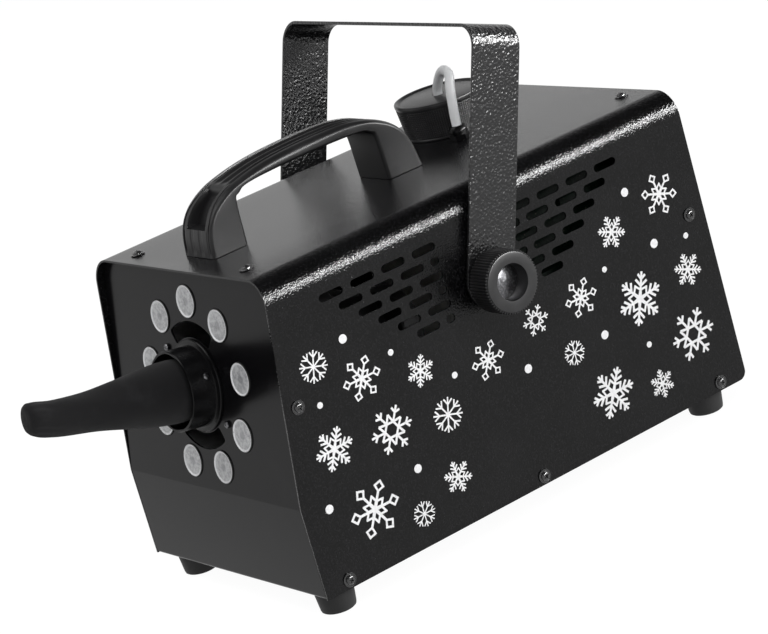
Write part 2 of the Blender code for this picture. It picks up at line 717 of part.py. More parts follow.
def build_lamps():
    """Nine domed lenses in the front panel, and the ring board behind them."""
    lens = [(0, LENS_PROUD), (LENS_R * 0.6, LENS_PROUD * 0.8), (LENS_R, 0), (LENS_R, -SHEET - GAP), (LENS_FLANGE_R, -SHEET - GAP),
            (LENS_FLANGE_R, -LENS_DEPTH), (0, -LENS_DEPTH)]
    for number, (x, y) in enumerate(lamp_places(), 1):
        turned(f"lamp_lens_{number}", lens, LENS, 16, location=(x, y, 0), parent=nozzle_axis)
    top = -LENS_DEPTH - GAP
    turned("lamp_board", [(DUCT_R + GAP, top), (LED_BOARD_R, top), (LED_BOARD_R, top - LED_BOARD_T),
                          (DUCT_R + GAP, top - LED_BOARD_T)], BOARD_GREEN, 32, ring=True, parent=nozzle_axis)


def build_nozzle():
    """Collar, inner tube on its spider, fluid spray tip, sheet duct, and the ring that holds the sock."""
    inner = COLLAR_R - COLLAR_WALL
    turned("nozzle_collar", [(inner, COLLAR_LENGTH), (COLLAR_R, COLLAR_LENGTH),
                             (COLLAR_R, COLLAR_FLANGE_T), (COLLAR_FLANGE_R, COLLAR_FLANGE_T),
                             (COLLAR_FLANGE_R, GAP), (inner, GAP)], SMOOTH_COAT, 32, ring=True,
           parent=nozzle_axis)
    back = -SHEET - GAP
    duct = turned("air_duct", [(DUCT_R - DUCT_WALL, back), (DUCT_R, back), (DUCT_R, back - DUCT_LENGTH),
                               (DUCT_R - DUCT_WALL, back - DUCT_LENGTH)], ZINC, 32, ring=True,
                  parent=nozzle_axis)
    exit_at = back - DUCT_LENGTH * HOSE_EXIT
    hose_hole = rods("duct_hose_hole", HOSE_R + RUN, [((0, -DUCT_R * 0.5, exit_at), (0, -DUCT_R * 1.5, exit_at))],
                     steps=12, parent=nozzle_axis)
    cut(duct, hose_hole)
    bore = NOZZLE_TUBE_R - NOZZLE_TUBE_WALL
    tube = turned("nozzle_tube", [(bore, NOZZLE_TUBE_OUT), (NOZZLE_TUBE_R, NOZZLE_TUBE_OUT),
                                  (NOZZLE_TUBE_R, -NOZZLE_TUBE_IN), (bore, -NOZZLE_TUBE_IN)], ZINC, 20,
                  ring=True, parent=nozzle_axis)
    reach = DUCT_R - DUCT_WALL - GAP
    low, high = -NOZZLE_TUBE_IN - SPIDER_DEPTH / 2, -NOZZLE_TUBE_IN + SPIDER_DEPTH / 2
    arm = SPIDER_T / 2
    join(tube, block("spider_across", (-reach, -arm, low), (reach, arm, high), None, parent=nozzle_axis))
    join(tube, block("spider_upright", (-arm, -reach, low), (arm, reach, high), None, parent=nozzle_axis))
    hub = rods("spider_hub", SPRAY_R + GAP + 0.002, [((0, 0, low), (0, 0, high))], parent=nozzle_axis)
    hub_bore = rods("spider_hub_bore", SPRAY_R + GAP, [((0, 0, low - 0.01), (0, 0, high + 0.01))],
                    parent=nozzle_axis)
    join(tube, hub)
    cut(tube, hub_bore)
    tip = -NOZZLE_TUBE_IN + SPRAY_LENGTH * 0.62
    tail = tip - SPRAY_LENGTH
    turned("spray_tip", [(0, tip), (SPRAY_R * 0.45, tip), (SPRAY_R, tip - 0.003), (SPRAY_R, tail + 0.009),
                         (SPRAY_BARB_R, tail + 0.008), (SPRAY_BARB_R, tail), (0, tail)], BRASS, 20,
           parent=nozzle_axis)
    ring_in = NOZZLE_TUBE_R + GAP + SOCK_WALL + GAP
    middle = NOZZLE_TUBE_OUT - 0.0045
    turned("sock_ring", [(ring_in, middle + SOCK_RING_LENGTH / 2),
                         (ring_in + SOCK_RING_WALL, middle + SOCK_RING_LENGTH / 2),
                         (ring_in + SOCK_RING_WALL, middle - SOCK_RING_LENGTH / 2),
                         (ring_in, middle - SOCK_RING_LENGTH / 2)], ZINC, 20, ring=True, parent=nozzle_axis)


def sock_sections():
    """Sections of the sock in the nozzle's frame: distance out, rise, half width, half height."""
    cuff = NOZZLE_TUBE_R + GAP + SOCK_WALL
    return [(0.0005, 0, cuff, cuff), (NOZZLE_TUBE_OUT, 0, cuff, cuff), (0.016, 0, 0.0186, 0.0186),
            (0.033, 0.0002, 0.0176, 0.0174), (0.054, 0.0004, 0.0146, 0.0143), (0.074, 0.0010, 0.0118, 0.0116),
            (0.097, 0.0030, 0.0102, 0.0105), (0.109, 0.0050, 0.0090, 0.0098), (0.1130, 0.0056, 0.0060, 0.0070)]


def build_sock():
    """The fabric sock: a loft from the round cuff to the narrow sewn toe, closed at the toe."""
    bm = bmesh.new()
    around = 20
    rings = []
    for out, rise, half_w, half_h in sock_sections():
        rings.append([bm.verts.new((x * half_w, rise + y * half_h, out)) for x, y in circle(1.0, around)])
    for near, far in zip(rings, rings[1:]):
        for i in range(around):
            j = (i + 1) % around
            bm.faces.new((near[i], near[j], far[j], far[i]))
    bm.faces.new(rings[-1])
    sock = place("snow_sock", mesh_from(bm, "snow_sock", smooth=True), FABRIC, parent=nozzle_axis)
    wall = sock.modifiers.new("fabric", "SOLIDIFY")
    wall.thickness = SOCK_WALL
    wall.offset = -1
    wall.use_even_offset = True


def build_blower():
    """Turbine housing, bladed wheel on its shaft, motor, and the bracket that carries them on the base."""
    front = -SHEET - GAP - DUCT_LENGTH - GAP
    back = front - BLOWER_DEPTH
    wall = BLOWER_WALL
    mouth = DUCT_R - DUCT_WALL
    turned("blower_housing", [(mouth, front), (BLOWER_R - 0.004, front), (BLOWER_R, front - 0.004),
                              (BLOWER_R, back + 0.004), (BLOWER_R - 0.004, back), (EYE_R, back),
                              (EYE_R, back + wall), (BLOWER_R - 0.004 - wall / 2, back + wall),
                              (BLOWER_R - wall, back + 0.004 + wall / 2),
                              (BLOWER_R - wall, front - 0.004 - wall / 2),
                              (BLOWER_R - 0.004 - wall / 2, front - wall), (mouth, front - wall)],
           GREY_PLASTIC, 24, ring=True, parent=nozzle_axis)
    neck_top = back + wall
    motor_face = back - 0.006
    turned("blower_motor", [(0, motor_face - 0.020), (SHAFT_R + RUN, motor_face - 0.020),
                            (SHAFT_R + RUN, neck_top), (MOTOR_NECK_R, neck_top), (MOTOR_NECK_R, motor_face),
                            (MOTOR_R, motor_face - 0.003), (MOTOR_R, motor_face - MOTOR_LENGTH + 0.005),
                            (MOTOR_R - 0.006, motor_face - MOTOR_LENGTH), (0, motor_face - MOTOR_LENGTH)],
           ZINC, 24, parent=nozzle_axis)
    blade_low = neck_top + BLADE_CLEARANCE
    plate = blade_low + BLADE_H
    wheel = turned("blower_wheel", [(0, plate + 0.004), (0.006, plate + 0.0035), (0.012, plate),
                                    (IMPELLER_R, plate), (IMPELLER_R, plate - 0.0015), (0.009, plate - 0.0015),
                                    (0.009, blade_low), (SHAFT_R, blade_low), (SHAFT_R, motor_face - 0.019),
                                    (0, motor_face - 0.019)], GREY_PLASTIC, 24, parent=nozzle_axis)
    bm = bmesh.new()
    for i in range(IMPELLER_BLADES):
        turn = Matrix.Rotation(2 * math.pi * i / IMPELLER_BLADES, 4, "Z")
        sweep = Matrix.Translation((0.030, 0, 0)) @ Matrix.Rotation(math.radians(24), 4, "Z")
        size = Matrix.Diagonal((0.034, 0.0014, BLADE_H - 0.0010, 1.0))
        height = Matrix.Translation((0, 0, blade_low + BLADE_H / 2 - 0.0005))
        bmesh.ops.create_cube(bm, size=1.0, matrix=turn @ sweep @ height @ size)
    join(wheel, place("wheel_blades", mesh_from(bm, "wheel_blades"), None, parent=nozzle_axis))

    # The bracket leans with the panel, so that it stands square to the motor
    along = motor_face - MOTOR_LENGTH * 0.55
    axis_y = NOZZLE_Y - along * math.cos(PANEL_ANGLE)
    axis_z = NOZZLE_Z + along * math.sin(PANEL_ANGLE)
    drop = (axis_z - FLOOR_Z) / math.cos(PANEL_ANGLE)
    foot_y = axis_y - drop * math.sin(PANEL_ANGLE)
    top_y = axis_y + BRACKET_TOP * math.sin(PANEL_ANGLE)
    top_z = axis_z + BRACKET_TOP * math.cos(PANEL_ANGLE)
    path = rounded_path([(foot_y + BRACKET_FOOT, FLOOR_Z), (foot_y, FLOOR_Z), (top_y, top_z)], 0.003, 3)
    bracket = folded_sheet("motor_bracket", path, "x", -BRACKET_W / 2, BRACKET_W / 2, BRACKET_T, -1, ZINC)
    cut(bracket, rods("motor_seat", MOTOR_R + GAP, [((0, 0, along - 0.02), (0, 0, along + 0.02))], steps=32,
                      parent=nozzle_axis))


def build_tank():
    """A blow-moulded tank with its neck up through the cover, the knurled cap and the tube gland."""
    low = (TANK_X[0], TANK_Y[0], FLOOR_Z)
    high = (TANK_X[1], TANK_Y[1], TANK_TOP)
    tank = block("tank", low, high, NATURAL_PLASTIC)
    rounding = tank.modifiers.new("rounded_edges", "BEVEL")
    rounding.width = 0.006
    rounding.segments = 2
    join(tank, rods("tank_neck", NECK_R, [((CAP_X, CAP_Y, TANK_TOP - TANK_WALL / 2),
                                           (CAP_X, CAP_Y, NECK_TOP))], steps=32))
    w = TANK_WALL
    hollow = block("tank_hollow", (low[0] + w, low[1] + w, low[2] + w), (high[0] - w, high[1] - w, high[2] - w),
                   None, bevel=0.004)
    cut(tank, hollow, rods("tank_mouth", NECK_R - NECK_WALL,
                           [((CAP_X, CAP_Y, TANK_TOP - 2 * TANK_WALL), (CAP_X, CAP_Y, NECK_TOP + 0.01))],
                           steps=32))
    bore = TUBE_R + RUN
    turned("tank_cap", [(bore, CAP_H), (CAP_R - 0.0012, CAP_H), (CAP_R, CAP_H - 0.0012), (CAP_R, GAP),
                        (NECK_R + GAP, GAP), (NECK_R + GAP, CAP_H - CAP_LID), (bore, CAP_H - CAP_LID)],
           BLACK_PLASTIC, 28, ring=True, location=(CAP_X, CAP_Y, BODY_H))
    turned("tube_gland", [(bore, GLAND_H), (GLAND_R * 0.72, GLAND_H), (GLAND_R * 0.95, GLAND_H * 0.72),
                          (GLAND_R, GLAND_H * 0.5), (GLAND_R, GAP), (GLAND_STEM_R, GAP),
                          (GLAND_STEM_R, -0.007), (bore, -0.007)], BLACK_PLASTIC, 16, ring=True,
           location=(GLAND_X, GLAND_Y, BODY_H))


def pump_ports():
    """Tips of the pump's inlet and outlet, both on top of its head."""
    head_y = PUMP_Y - PUMP_HEAD[1] / 2
    top = FLOOR_Z + 0.003 + PUMP_HEAD[2] + PORT_LENGTH
    return (PUMP_X - 0.007, head_y, top), (PUMP_X + 0.007, head_y, top)


def build_pump():
    """A small diaphragm pump on a foot plate: head with two ports in front, motor behind."""
    low = FLOOR_Z + 0.003
    width, depth, height = PUMP_HEAD
    pump = block("pump", (PUMP_X - width / 2, PUMP_Y - depth, low),
                 (PUMP_X + width / 2, PUMP_Y, low + height), BLACK_PLASTIC)
    middle = low + height / 2
    join(pump, rods("pump_motor", PUMP_MOTOR_R, [((PUMP_X, PUMP_Y - 0.001, middle),
                                                  (PUMP_X, PUMP_Y + PUMP_MOTOR_LENGTH, middle))]))
    inlet, outlet = pump_ports()
    stalks = [(Vector(port) - Vector((0, 0, PORT_LENGTH + 0.002)), port) for port in (inlet, outlet)]
    join(pump, rods("pump_port_stalks", PORT_R, stalks, steps=12))
    join(pump, block("pump_foot", (PUMP_X - 0.019, PUMP_Y - depth - 0.002, FLOOR_Z),
                     (PUMP_X + 0.019, PUMP_Y + PUMP_MOTOR_LENGTH, low + 0.001), None))
    join(pump, block("pump_saddle", (PUMP_X - 0.006, PUMP_Y + 0.004, low), (PUMP_X + 0.006, PUMP_Y + 0.024,
                                                                          middle), None))


def build_tubes():
    """The white suction tube from the tank, over the cap and down the gland to the pump, and the hose on
    to the spray tip."""
    inlet, outlet = pump_ports()
    top = BODY_H
    suction = [(CAP_X, CAP_Y, FLOOR_Z + TANK_WALL + 0.004), (CAP_X, CAP_Y, 0.060), (CAP_X, CAP_Y, 0.110),
               (CAP_X, CAP_Y, 0.160), (CAP_X, CAP_Y, top + 0.010), (CAP_X, CAP_Y, top + CAP_H + 0.003),
               (CAP_X + 0.0045, CAP_Y - 0.0018, top + 0.0325), (CAP_X + 0.0120, CAP_Y - 0.0045, top + 0.0377),
               (CAP_X + 0.0205, CAP_Y - 0.0075, top + 0.0402), (CAP_X + 0.0285, CAP_Y - 0.0103, top + 0.0385),
               (GLAND_X - 0.0004, GLAND_Y + 0.0025, top + 0.0310),
               (GLAND_X + 0.0004, GLAND_Y + 0.0006, top + 0.0210),
               (GLAND_X, GLAND_Y, top + 0.0120), (GLAND_X, GLAND_Y, top), (GLAND_X, GLAND_Y, top - 0.015),
               (GLAND_X + 0.0010, GLAND_Y - 0.001, top - 0.045),
               (GLAND_X + 0.010, GLAND_Y - 0.006, top - 0.080), (inlet[0] - 0.004, inlet[1] - 0.001, 0.075),
               (inlet[0], inlet[1], inlet[2] + 0.015), (inlet[0], inlet[1], inlet[2] + GAP)]
    hose("suction_tube", smooth_route(suction, 0.012), TUBE_R, SILICONE)
    to_machine = Matrix.Translation((0, NOZZLE_Y, NOZZLE_Z)) @ Matrix.Rotation(math.pi / 2 - PANEL_ANGLE, 4, "X")
    tail = -NOZZLE_TUBE_IN + SPRAY_LENGTH * 0.62 - SPRAY_LENGTH - GAP
    through = -SHEET - GAP - DUCT_LENGTH * HOSE_EXIT
    ahead = [(0, 0, tail), (0, 0, tail - 0.0045), (0, -0.0030, tail - 0.0088), (0, -0.0080, tail - 0.0098),
             (0, -0.0150, tail - 0.0070), (0, -0.0230, through - 0.0005), (0, -0.0300, through),
             (0, -0.0360, through), (0, -0.0420, through), (0, -0.0490, through)]
    ahead = [to_machine @ Vector(point) for point in ahead]
    under = ahead[-1]
    feed = [*ahead, (0.012, under.y + 0.008, 0.040), (0.040, under.y + 0.030, 0.020),
            (0.056, 0.110, 0.012), (0.058, 0.160, 0.012), (0.052, 0.196, 0.030),
            (outlet[0] + 0.001, outlet[1] - 0.004, 0.058), (outlet[0], outlet[1], outlet[2] + 0.008),
            (outlet[0], outlet[1], outlet[2] + GAP)]
    hose("feed_hose", smooth_route(feed, 0.009), HOSE_R, SILICONE)


def build_controls():
    """The control board on its bracket, and what the rear panel carries."""
    t, length, height = BOARD_SIZE
    board = block("control_board", (BOARD_X, BOARD_Y - length / 2, BOARD_Z - height / 2),
                  (BOARD_X + t, BOARD_Y + length / 2, BOARD_Z + height / 2), BOARD_GREEN)
    face = BOARD_X + t - 0.0002
    parts_on_it = [((-0.030, -0.022), (0.016, 0.020, 0.008)), ((-0.006, -0.020), (0.012, 0.014, 0.010)),
                   ((0.020, -0.018), (0.020, 0.022, 0.009)), ((-0.028, 0.020), (0.014, 0.010, 0.006)),
                   ((0.004, 0.020), (0.024, 0.008, 0.004)), ((0.030, 0.022), (0.010, 0.012, 0.009))]
    corners = [((face, BOARD_Y + y - w / 2, BOARD_Z + z - h / 2),
                (face + d, BOARD_Y + y + w / 2, BOARD_Z + z + h / 2))
               for (y, z), (w, h, d) in parts_on_it]
    join(board, blocks("board_components", corners))
    bracket_x = BOARD_X - STANDOFF - GAP
    path = rounded_path([(bracket_x - BOARD_FOOT, FLOOR_Z), (bracket_x, FLOOR_Z), (bracket_x, BOARD_Z + height / 2)],
                        0.003, 3)
    bracket = folded_sheet("board_bracket", path, "y", BOARD_Y - 0.030, BOARD_Y + 0.030, BRACKET_T, -1, ZINC)
    join(bracket, rods("board_standoffs", 0.003,
                       [((bracket_x - BRACKET_T / 2, BOARD_Y + y, BOARD_Z + z), (BOARD_X - GAP, BOARD_Y + y, BOARD_Z + z))
                        for y in (-0.024, 0.024) for z in (-0.028, 0.028)], steps=10))
    build_inlet()
    build_switch()
    build_level_control()


def build_inlet():
    """A panel inlet with three flat pins, over it the drawer for the fuse."""
    x = -REAR_FITTING_X
    where = {"parent": rear_face, "location": (x, INLET_Z, 0)}
    (face_w, face_h), (body_w, body_h) = INLET_FACE, INLET_BODY
    inlet = block("power_inlet", (-face_w / 2, -face_h / 2, GAP), (face_w / 2, face_h / 2, FACE_T),
                  BLACK_PLASTIC, **where)
    join(inlet, block("inlet_body", (-body_w / 2, -body_h / 2, -INLET_DEPTH),
                      (body_w / 2, body_h / 2, FACE_T / 2), None, **where))
    w, h = SOCKET_SIZE
    cut(inlet, block("inlet_socket", (-w / 2, -SOCKET_DROP - h / 2, FACE_T - SOCKET_DEPTH),
                     (w / 2, -SOCKET_DROP + h / 2, FACE_T + 0.01), None, **where))
    dw, dh = DRAWER_SIZE
    cut(inlet, block("drawer_slot", (-dw / 2 - RUN, DRAWER_LIFT - dh / 2 - RUN, FACE_T - DRAWER_DEPTH),
                     (dw / 2 + RUN, DRAWER_LIFT + dh / 2 + RUN, FACE_T + 0.01), None, **where))
    floor = FACE_T - SOCKET_DEPTH
    pins = []
    for px, py in ((-PIN_PITCH, -0.002), (0, 0.002), (PIN_PITCH, -0.002)):
        pw, ph = PIN_SIZE
        middle = -SOCKET_DROP + py
        pins.append(((px - pw / 2, middle - ph / 2, floor - 0.001), (px + pw / 2, middle + ph / 2,
                                                                     floor + PIN_LENGTH)))
    join(inlet, blocks("inlet_pins", pins, **where))
    block("fuse_drawer", (-dw / 2, -dh / 2, -DRAWER_DEPTH + RUN), (dw / 2, dh / 2, 0.0010), BLACK_PLASTIC,
          parent=rear_face, location=(x, INLET_Z + DRAWER_LIFT, FACE_T))


def build_switch():
    """A rocker switch, drawn in its off position."""
    x = -REAR_FITTING_X
    where = {"parent": rear_face, "location": (x, SWITCH_Z, 0)}
    (face_w, face_h), (body_w, body_h), (rocker_w, rocker_h) = SWITCH_FACE, SWITCH_BODY, ROCKER_SIZE
    frame = block("switch_frame", (-face_w / 2, -face_h / 2, GAP), (face_w / 2, face_h / 2, FACE_T),
                  BLACK_PLASTIC, **where)
    join(frame, block("switch_body", (-body_w / 2, -body_h / 2, -SWITCH_DEPTH),
                      (body_w / 2, body_h / 2, FACE_T / 2), None, **where))
    pivot = FACE_T - 0.0008
    drop = 0.003
    room = rocker_h / 2 * math.cos(ROCKER_TILT) + drop * math.sin(ROCKER_TILT) + RUN
    floor = pivot - drop - rocker_h / 2 * math.sin(ROCKER_TILT) - RUN
    cut(frame, block("rocker_well", (-rocker_w / 2 - GAP, -room, floor), (rocker_w / 2 + GAP, room, FACE_T + 0.01),
                     None, **where))
    half = rocker_h / 2
    crest = half * math.sin(ROCKER_TILT) + 0.0011
    outline = [(-half, -drop), (half, -drop), (half, crest), (0, crest * 0.55), (-half, crest)]
    prism("power_rocker", outline, "x", -rocker_w / 2, rocker_w / 2, BLACK_PLASTIC, parent=rear_face,
          location=(x, SWITCH_Z, pivot), rotation=(ROCKER_TILT, 0, 0))


def build_level_control():
    """The output control behind the rear panel, and the ribbed knob on its shaft."""
    where = {"parent": rear_face, "location": (-REAR_FITTING_X, LEVEL_Z, 0)}
    behind = -SHEET - GAP
    shaft_top = LEVEL_KNOB_H - 0.004
    turned("level_control", [(0, shaft_top), (LEVEL_SHAFT_R, shaft_top), (LEVEL_SHAFT_R, 0.002),
                             (LEVEL_SHAFT_R + RUN, 0.002), (LEVEL_SHAFT_R + RUN, behind),
                             (LEVEL_POT_R, behind), (LEVEL_POT_R, behind - LEVEL_POT_DEPTH),
                             (0, behind - LEVEL_POT_DEPTH)], ZINC, 20, **where)
    socket = LEVEL_SHAFT_R + GAP
    knob = turned("level_knob", [(0, LEVEL_KNOB_H), (LEVEL_KNOB_R * 0.80, LEVEL_KNOB_H),
                                 (LEVEL_KNOB_R * 0.88, LEVEL_KNOB_H - 0.001),
                                 (LEVEL_KNOB_R, 0.0036), (LEVEL_KNOB_R, 0.0026), (socket, 0.0026),
                                 (socket, shaft_top + GAP), (0, shaft_top + GAP)], BLACK_PLASTIC, 20, **where)
    cut(knob, block("level_mark", (-0.0005, LEVEL_KNOB_R * 0.25, LEVEL_KNOB_H - 0.0005),
                    (0.0005, LEVEL_KNOB_R, LEVEL_KNOB_H + 0.001), None, **where))


def build_yoke():
    """The flat-bar yoke with round ends, leaning back on the pivot, and what clamps it."""
    outer = YOKE_OUTER_X
    path = rounded_path([(-outer, -YOKE_W), (-outer, YOKE_H), (outer, YOKE_H), (outer, -YOKE_W)], YOKE_BEND_R, 5)
    lean = {"location": (0, PIVOT_Y, PIVOT_Z), "rotation": (-YOKE_LEAN, 0, 0)}
    yoke = folded_sheet("yoke", path, "y", -YOKE_W / 2, YOKE_W / 2, YOKE_T, 1, POWDER_COAT, **lean)
    end = [(-YOKE_W, 0), (-YOKE_W / 2, 0)]
    for step in range(1, 12):
        angle = math.pi * step / 12
        end.append((-YOKE_W / 2 * math.cos(angle), -YOKE_W / 2 * math.sin(angle)))
    end += [(YOKE_W / 2, 0), (YOKE_W, 0), (YOKE_W, -2 * YOKE_W), (-YOKE_W, -2 * YOKE_W)]
    rounding = prism("yoke_end_rounding", end, "x", -BODY_W, BODY_W, None, **lean)
    holes = rods("yoke_holes", STUD_R + GAP, [((-BODY_W, 0, 0), (BODY_W, 0, 0))], steps=20, **lean)
    slot = blocks("yoke_top_slot", [((-0.005 - x, -0.005, YOKE_H - 0.01), (0.005 - x, 0.005, YOKE_H + 0.01))
                                    for x in (0,)], **lean)
    cut(yoke, rounding, holes, slot)
    inside = outer - YOKE_T
    face = KNOB_H
    stud = outer - (INNER_X - INSERT_LENGTH)
    knob = [(0, face - KNOB_DISH_DEPTH - KNOB_CONE_DEPTH), (KNOB_DISH_R * 0.93, face - KNOB_DISH_DEPTH),
            (KNOB_DISH_R, face), (KNOB_R - 0.0014, face), (KNOB_R, face - 0.0012), (KNOB_R, KNOB_HUB_H), (KNOB_HUB_R, KNOB_HUB_H), (KNOB_HUB_R, GAP), (STUD_R, GAP),
            (STUD_R, -stud), (0, -stud)]
    spacer = [(STUD_R + GAP, inside - GAP), (SPACER_R, inside - GAP), (SPACER_R, BODY_W / 2 + GAP),
              (STUD_R + GAP, BODY_W / 2 + GAP)]
    for side, pivot in (("right", pivot_right), ("left", pivot_left)):
        turned(f"clamp_knob_{side}", knob, BLACK_PLASTIC, 28, parent=pivot, location=(0, 0, outer))
        turned(f"pivot_spacer_{side}", spacer, RUBBER, 20, ring=True, parent=pivot)


build_cover()
build_chassis()
build_feet()
build_screws()
build_handle()
build_lamps()
build_nozzle()
build_sock()
build_blower()
build_tank()
build_pump()
build_tubes()
build_controls()
build_yoke()

# Bring the origin under the middle of the whole machine
bpy.context.view_layer.update()
reach = []
for ends in ("snow_sock", "level_knob"):
    scene_now = bpy.context.evaluated_depsgraph_get()
    piece = bpy.data.objects[ends].evaluated_get(scene_now)
    reach += [(piece.matrix_world @ vertex.co).y for vertex in piece.to_mesh().vertices]
    piece.to_mesh_clear()
machine.location.y = -(min(reach) + max(reach)) / 2
print("front edge at y =", round(machine.location.y, 6))
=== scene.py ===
import math

import bmesh
import bpy
from mathutils import Matrix, Vector


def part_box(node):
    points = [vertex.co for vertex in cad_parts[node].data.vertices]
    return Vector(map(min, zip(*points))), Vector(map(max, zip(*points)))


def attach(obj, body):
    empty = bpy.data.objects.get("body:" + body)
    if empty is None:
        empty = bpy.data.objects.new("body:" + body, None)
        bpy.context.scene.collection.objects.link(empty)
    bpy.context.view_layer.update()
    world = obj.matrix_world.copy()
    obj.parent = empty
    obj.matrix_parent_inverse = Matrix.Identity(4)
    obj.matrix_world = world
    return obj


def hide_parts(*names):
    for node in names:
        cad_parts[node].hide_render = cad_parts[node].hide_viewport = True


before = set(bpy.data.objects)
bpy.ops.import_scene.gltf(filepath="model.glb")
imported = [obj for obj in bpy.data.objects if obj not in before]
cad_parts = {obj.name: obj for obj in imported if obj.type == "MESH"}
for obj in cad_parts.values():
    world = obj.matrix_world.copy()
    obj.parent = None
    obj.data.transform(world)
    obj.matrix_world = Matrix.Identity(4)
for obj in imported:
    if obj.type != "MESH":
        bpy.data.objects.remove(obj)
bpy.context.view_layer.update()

# The view
# A long lens looks at the machine's right front corner from a little above, and the camera is tipped over,
# so that the machine seems to lean back. Its distances are measured from the foot of the case's front edge.

case_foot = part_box("cover")[0]


def spot(x, y, z):
    """A point of the case: across from its middle, back from its front edge, up from its underside."""
    return Vector((x, case_foot.y + y, case_foot.z + z))


def put(name, data):
    """An object in the scene, made of this data."""
    made = bpy.data.objects.new(name, data)
    bpy.context.scene.collection.objects.link(made)
    return made


AZIMUTH, ELEVATION, TIP = (math.radians(angle) for angle in (58.602, 16.219, -16.144))
AIM = spot(0, 0.16, 0.10)
AWAY, MOVED_LEFT, MOVED_DOWN = 1.9264, 0.0127, 0.0004
back = Vector((math.sin(AZIMUTH) * math.cos(ELEVATION), -math.cos(AZIMUTH) * math.cos(ELEVATION),
               math.sin(ELEVATION)))
sideways = Vector((math.cos(AZIMUTH), math.sin(AZIMUTH), 0))
upright = sideways.cross(-back)
rightward = sideways * math.cos(TIP) + upright * math.sin(TIP)
upward = upright * math.cos(TIP) - sideways * math.sin(TIP)
lens = bpy.data.cameras.new("camera")
lens.lens, lens.sensor_width = 149.23, 36.0
lens.clip_start, lens.clip_end = 0.05, 60.0
camera = put("camera", lens)
stand = AIM + back * AWAY - rightward * MOVED_LEFT - upward * MOVED_DOWN
camera.matrix_world = Matrix.Translation(stand) @ Matrix((rightward, upward, back)).transposed().to_4x4()
bpy.context.scene.camera = camera
bpy.context.scene.view_settings.view_transform = "Standard"


# Floor and light
# A pale floor that keeps the machine's shadow, a white room that gets dark overhead, a soft box over the
# left shoulder, a fill for the right side and a long strip behind it, which draws the bright line on the
# cover's bend.

class Value:
    """A number on a node's socket. Arithmetic on it adds the Math nodes."""

    def __init__(self, nodes, socket):
        self.nodes, self.socket = nodes, socket

    def math(self, operation, *others):
        """A Math node that starts from this number."""
        return self.nodes.node("ShaderNodeMath", {"operation": operation}, dict(enumerate((self, *others))))

    def __add__(self, other):
        return self.math("ADD", other)

    def __mul__(self, other):
        return self.math("MULTIPLY", other)

    def __rsub__(self, other):
        return self * -1 + other

    __radd__, __rmul__ = __add__, __mul__

    def between(self, low, high):
        """0 below low, 1 above high, and a smooth step from one to the other."""
        return self.nodes.node("ShaderNodeMapRange", {"interpolation_type": "SMOOTHSTEP"},
                               {0: self, 1: low, 2: high, 3: 0.0, 4: 1.0})


class Nodes:
    """A node tree under construction."""

    def __init__(self, tree):
        self.tree = tree
        tree.nodes.clear()

    def node(self, kind, settings=None, sockets=None, output=0):
        """Any node: its type, its settings, then the values or links of its sockets, and which output."""
        made = self.tree.nodes.new(kind)
        for name, value in (settings or {}).items():
            setattr(made, name, value)
        for socket, value in (sockets or {}).items():
            if isinstance(value, Value):
                self.tree.links.new(value.socket, made.inputs[socket])
            else:
                made.inputs[socket].default_value = value
        return None if output is None else Value(self, made.outputs[output])


RAYS = ("Is Camera Ray", "Is Glossy Ray", "Is Transmission Ray")
SKY_DIFFUSE, SKY_DARK = 0.34, 0.08
room = bpy.data.worlds.new("room")
room.use_nodes = True
bpy.context.scene.world = room
air = Nodes(room.node_tree)
seen, mirrored, passed = (air.node("ShaderNodeLightPath", output=ray) for ray in RAYS)
height = air.node("ShaderNodeSeparateXYZ", {}, {0: air.node("ShaderNodeTexCoord", output="Generated")}, 2)
overhead = height.between(0.36, 0.66)
glow = seen + (mirrored + passed) * (1 - overhead * (1 - SKY_DARK)) * (1 - seen)
ambient = (1 - seen) * (1 - mirrored) * (1 - passed) * SKY_DIFFUSE
sky = air.node("ShaderNodeBackground", {}, {"Color": (1, 1, 1, 1), "Strength": glow + ambient})
air.node("ShaderNodeOutputWorld", {}, {"Surface": sky}, None)


class Finish(Nodes):
    """One material. Its places are metres in the machine's frame, and a colour is three numbers."""

    def __init__(self, name):
        self.material = bpy.data.materials.new(name)
        self.material.use_nodes = True
        super().__init__(self.material.node_tree)
        self.places = self.node("ShaderNodeTexCoord", output="Object")

    def axis(self, number, places=None):
        """One coordinate of the places, or of other ones: 0 across, 1 back, 2 up."""
        return self.node("ShaderNodeSeparateXYZ", {}, {0: places or self.places}, number)

    def noise(self, size, detail=2.0, rough=0.5, warp=0.0):
        """Cloudy noise whose lumps are about this size in metres."""
        return self.node("ShaderNodeTexNoise", {}, {
            "Vector": self.places, "Scale": 1 / size, "Detail": detail, "Roughness": rough,
            "Distortion": warp})

    def blend(self, low, high, share):
        """One colour turning into another. Each is a plain colour or an earlier blend."""
        low, high = (end if isinstance(end, Value) else (*end, 1) for end in (low, high))
        return self.node("ShaderNodeMix", {"data_type": "RGBA"}, {0: share, 6: low, 7: high}, 2)

    def close(self, colour, roughness, relief, depth, **steady):
        """End in one Principled shader. The first three values may vary, and the others are constants."""
        bump = self.node("ShaderNodeBump", {}, {"Strength": 1.0, "Distance": depth, "Height": relief})
        sockets = {"Base Color": colour, "Roughness": roughness, "Normal": bump}
        sockets.update({name.replace("_", " "): value for name, value in steady.items()})
        shader = self.node("ShaderNodeBsdfPrincipled", {}, sockets)
        self.node("ShaderNodeOutputMaterial", {}, {"Surface": shader}, None)
        return self.material


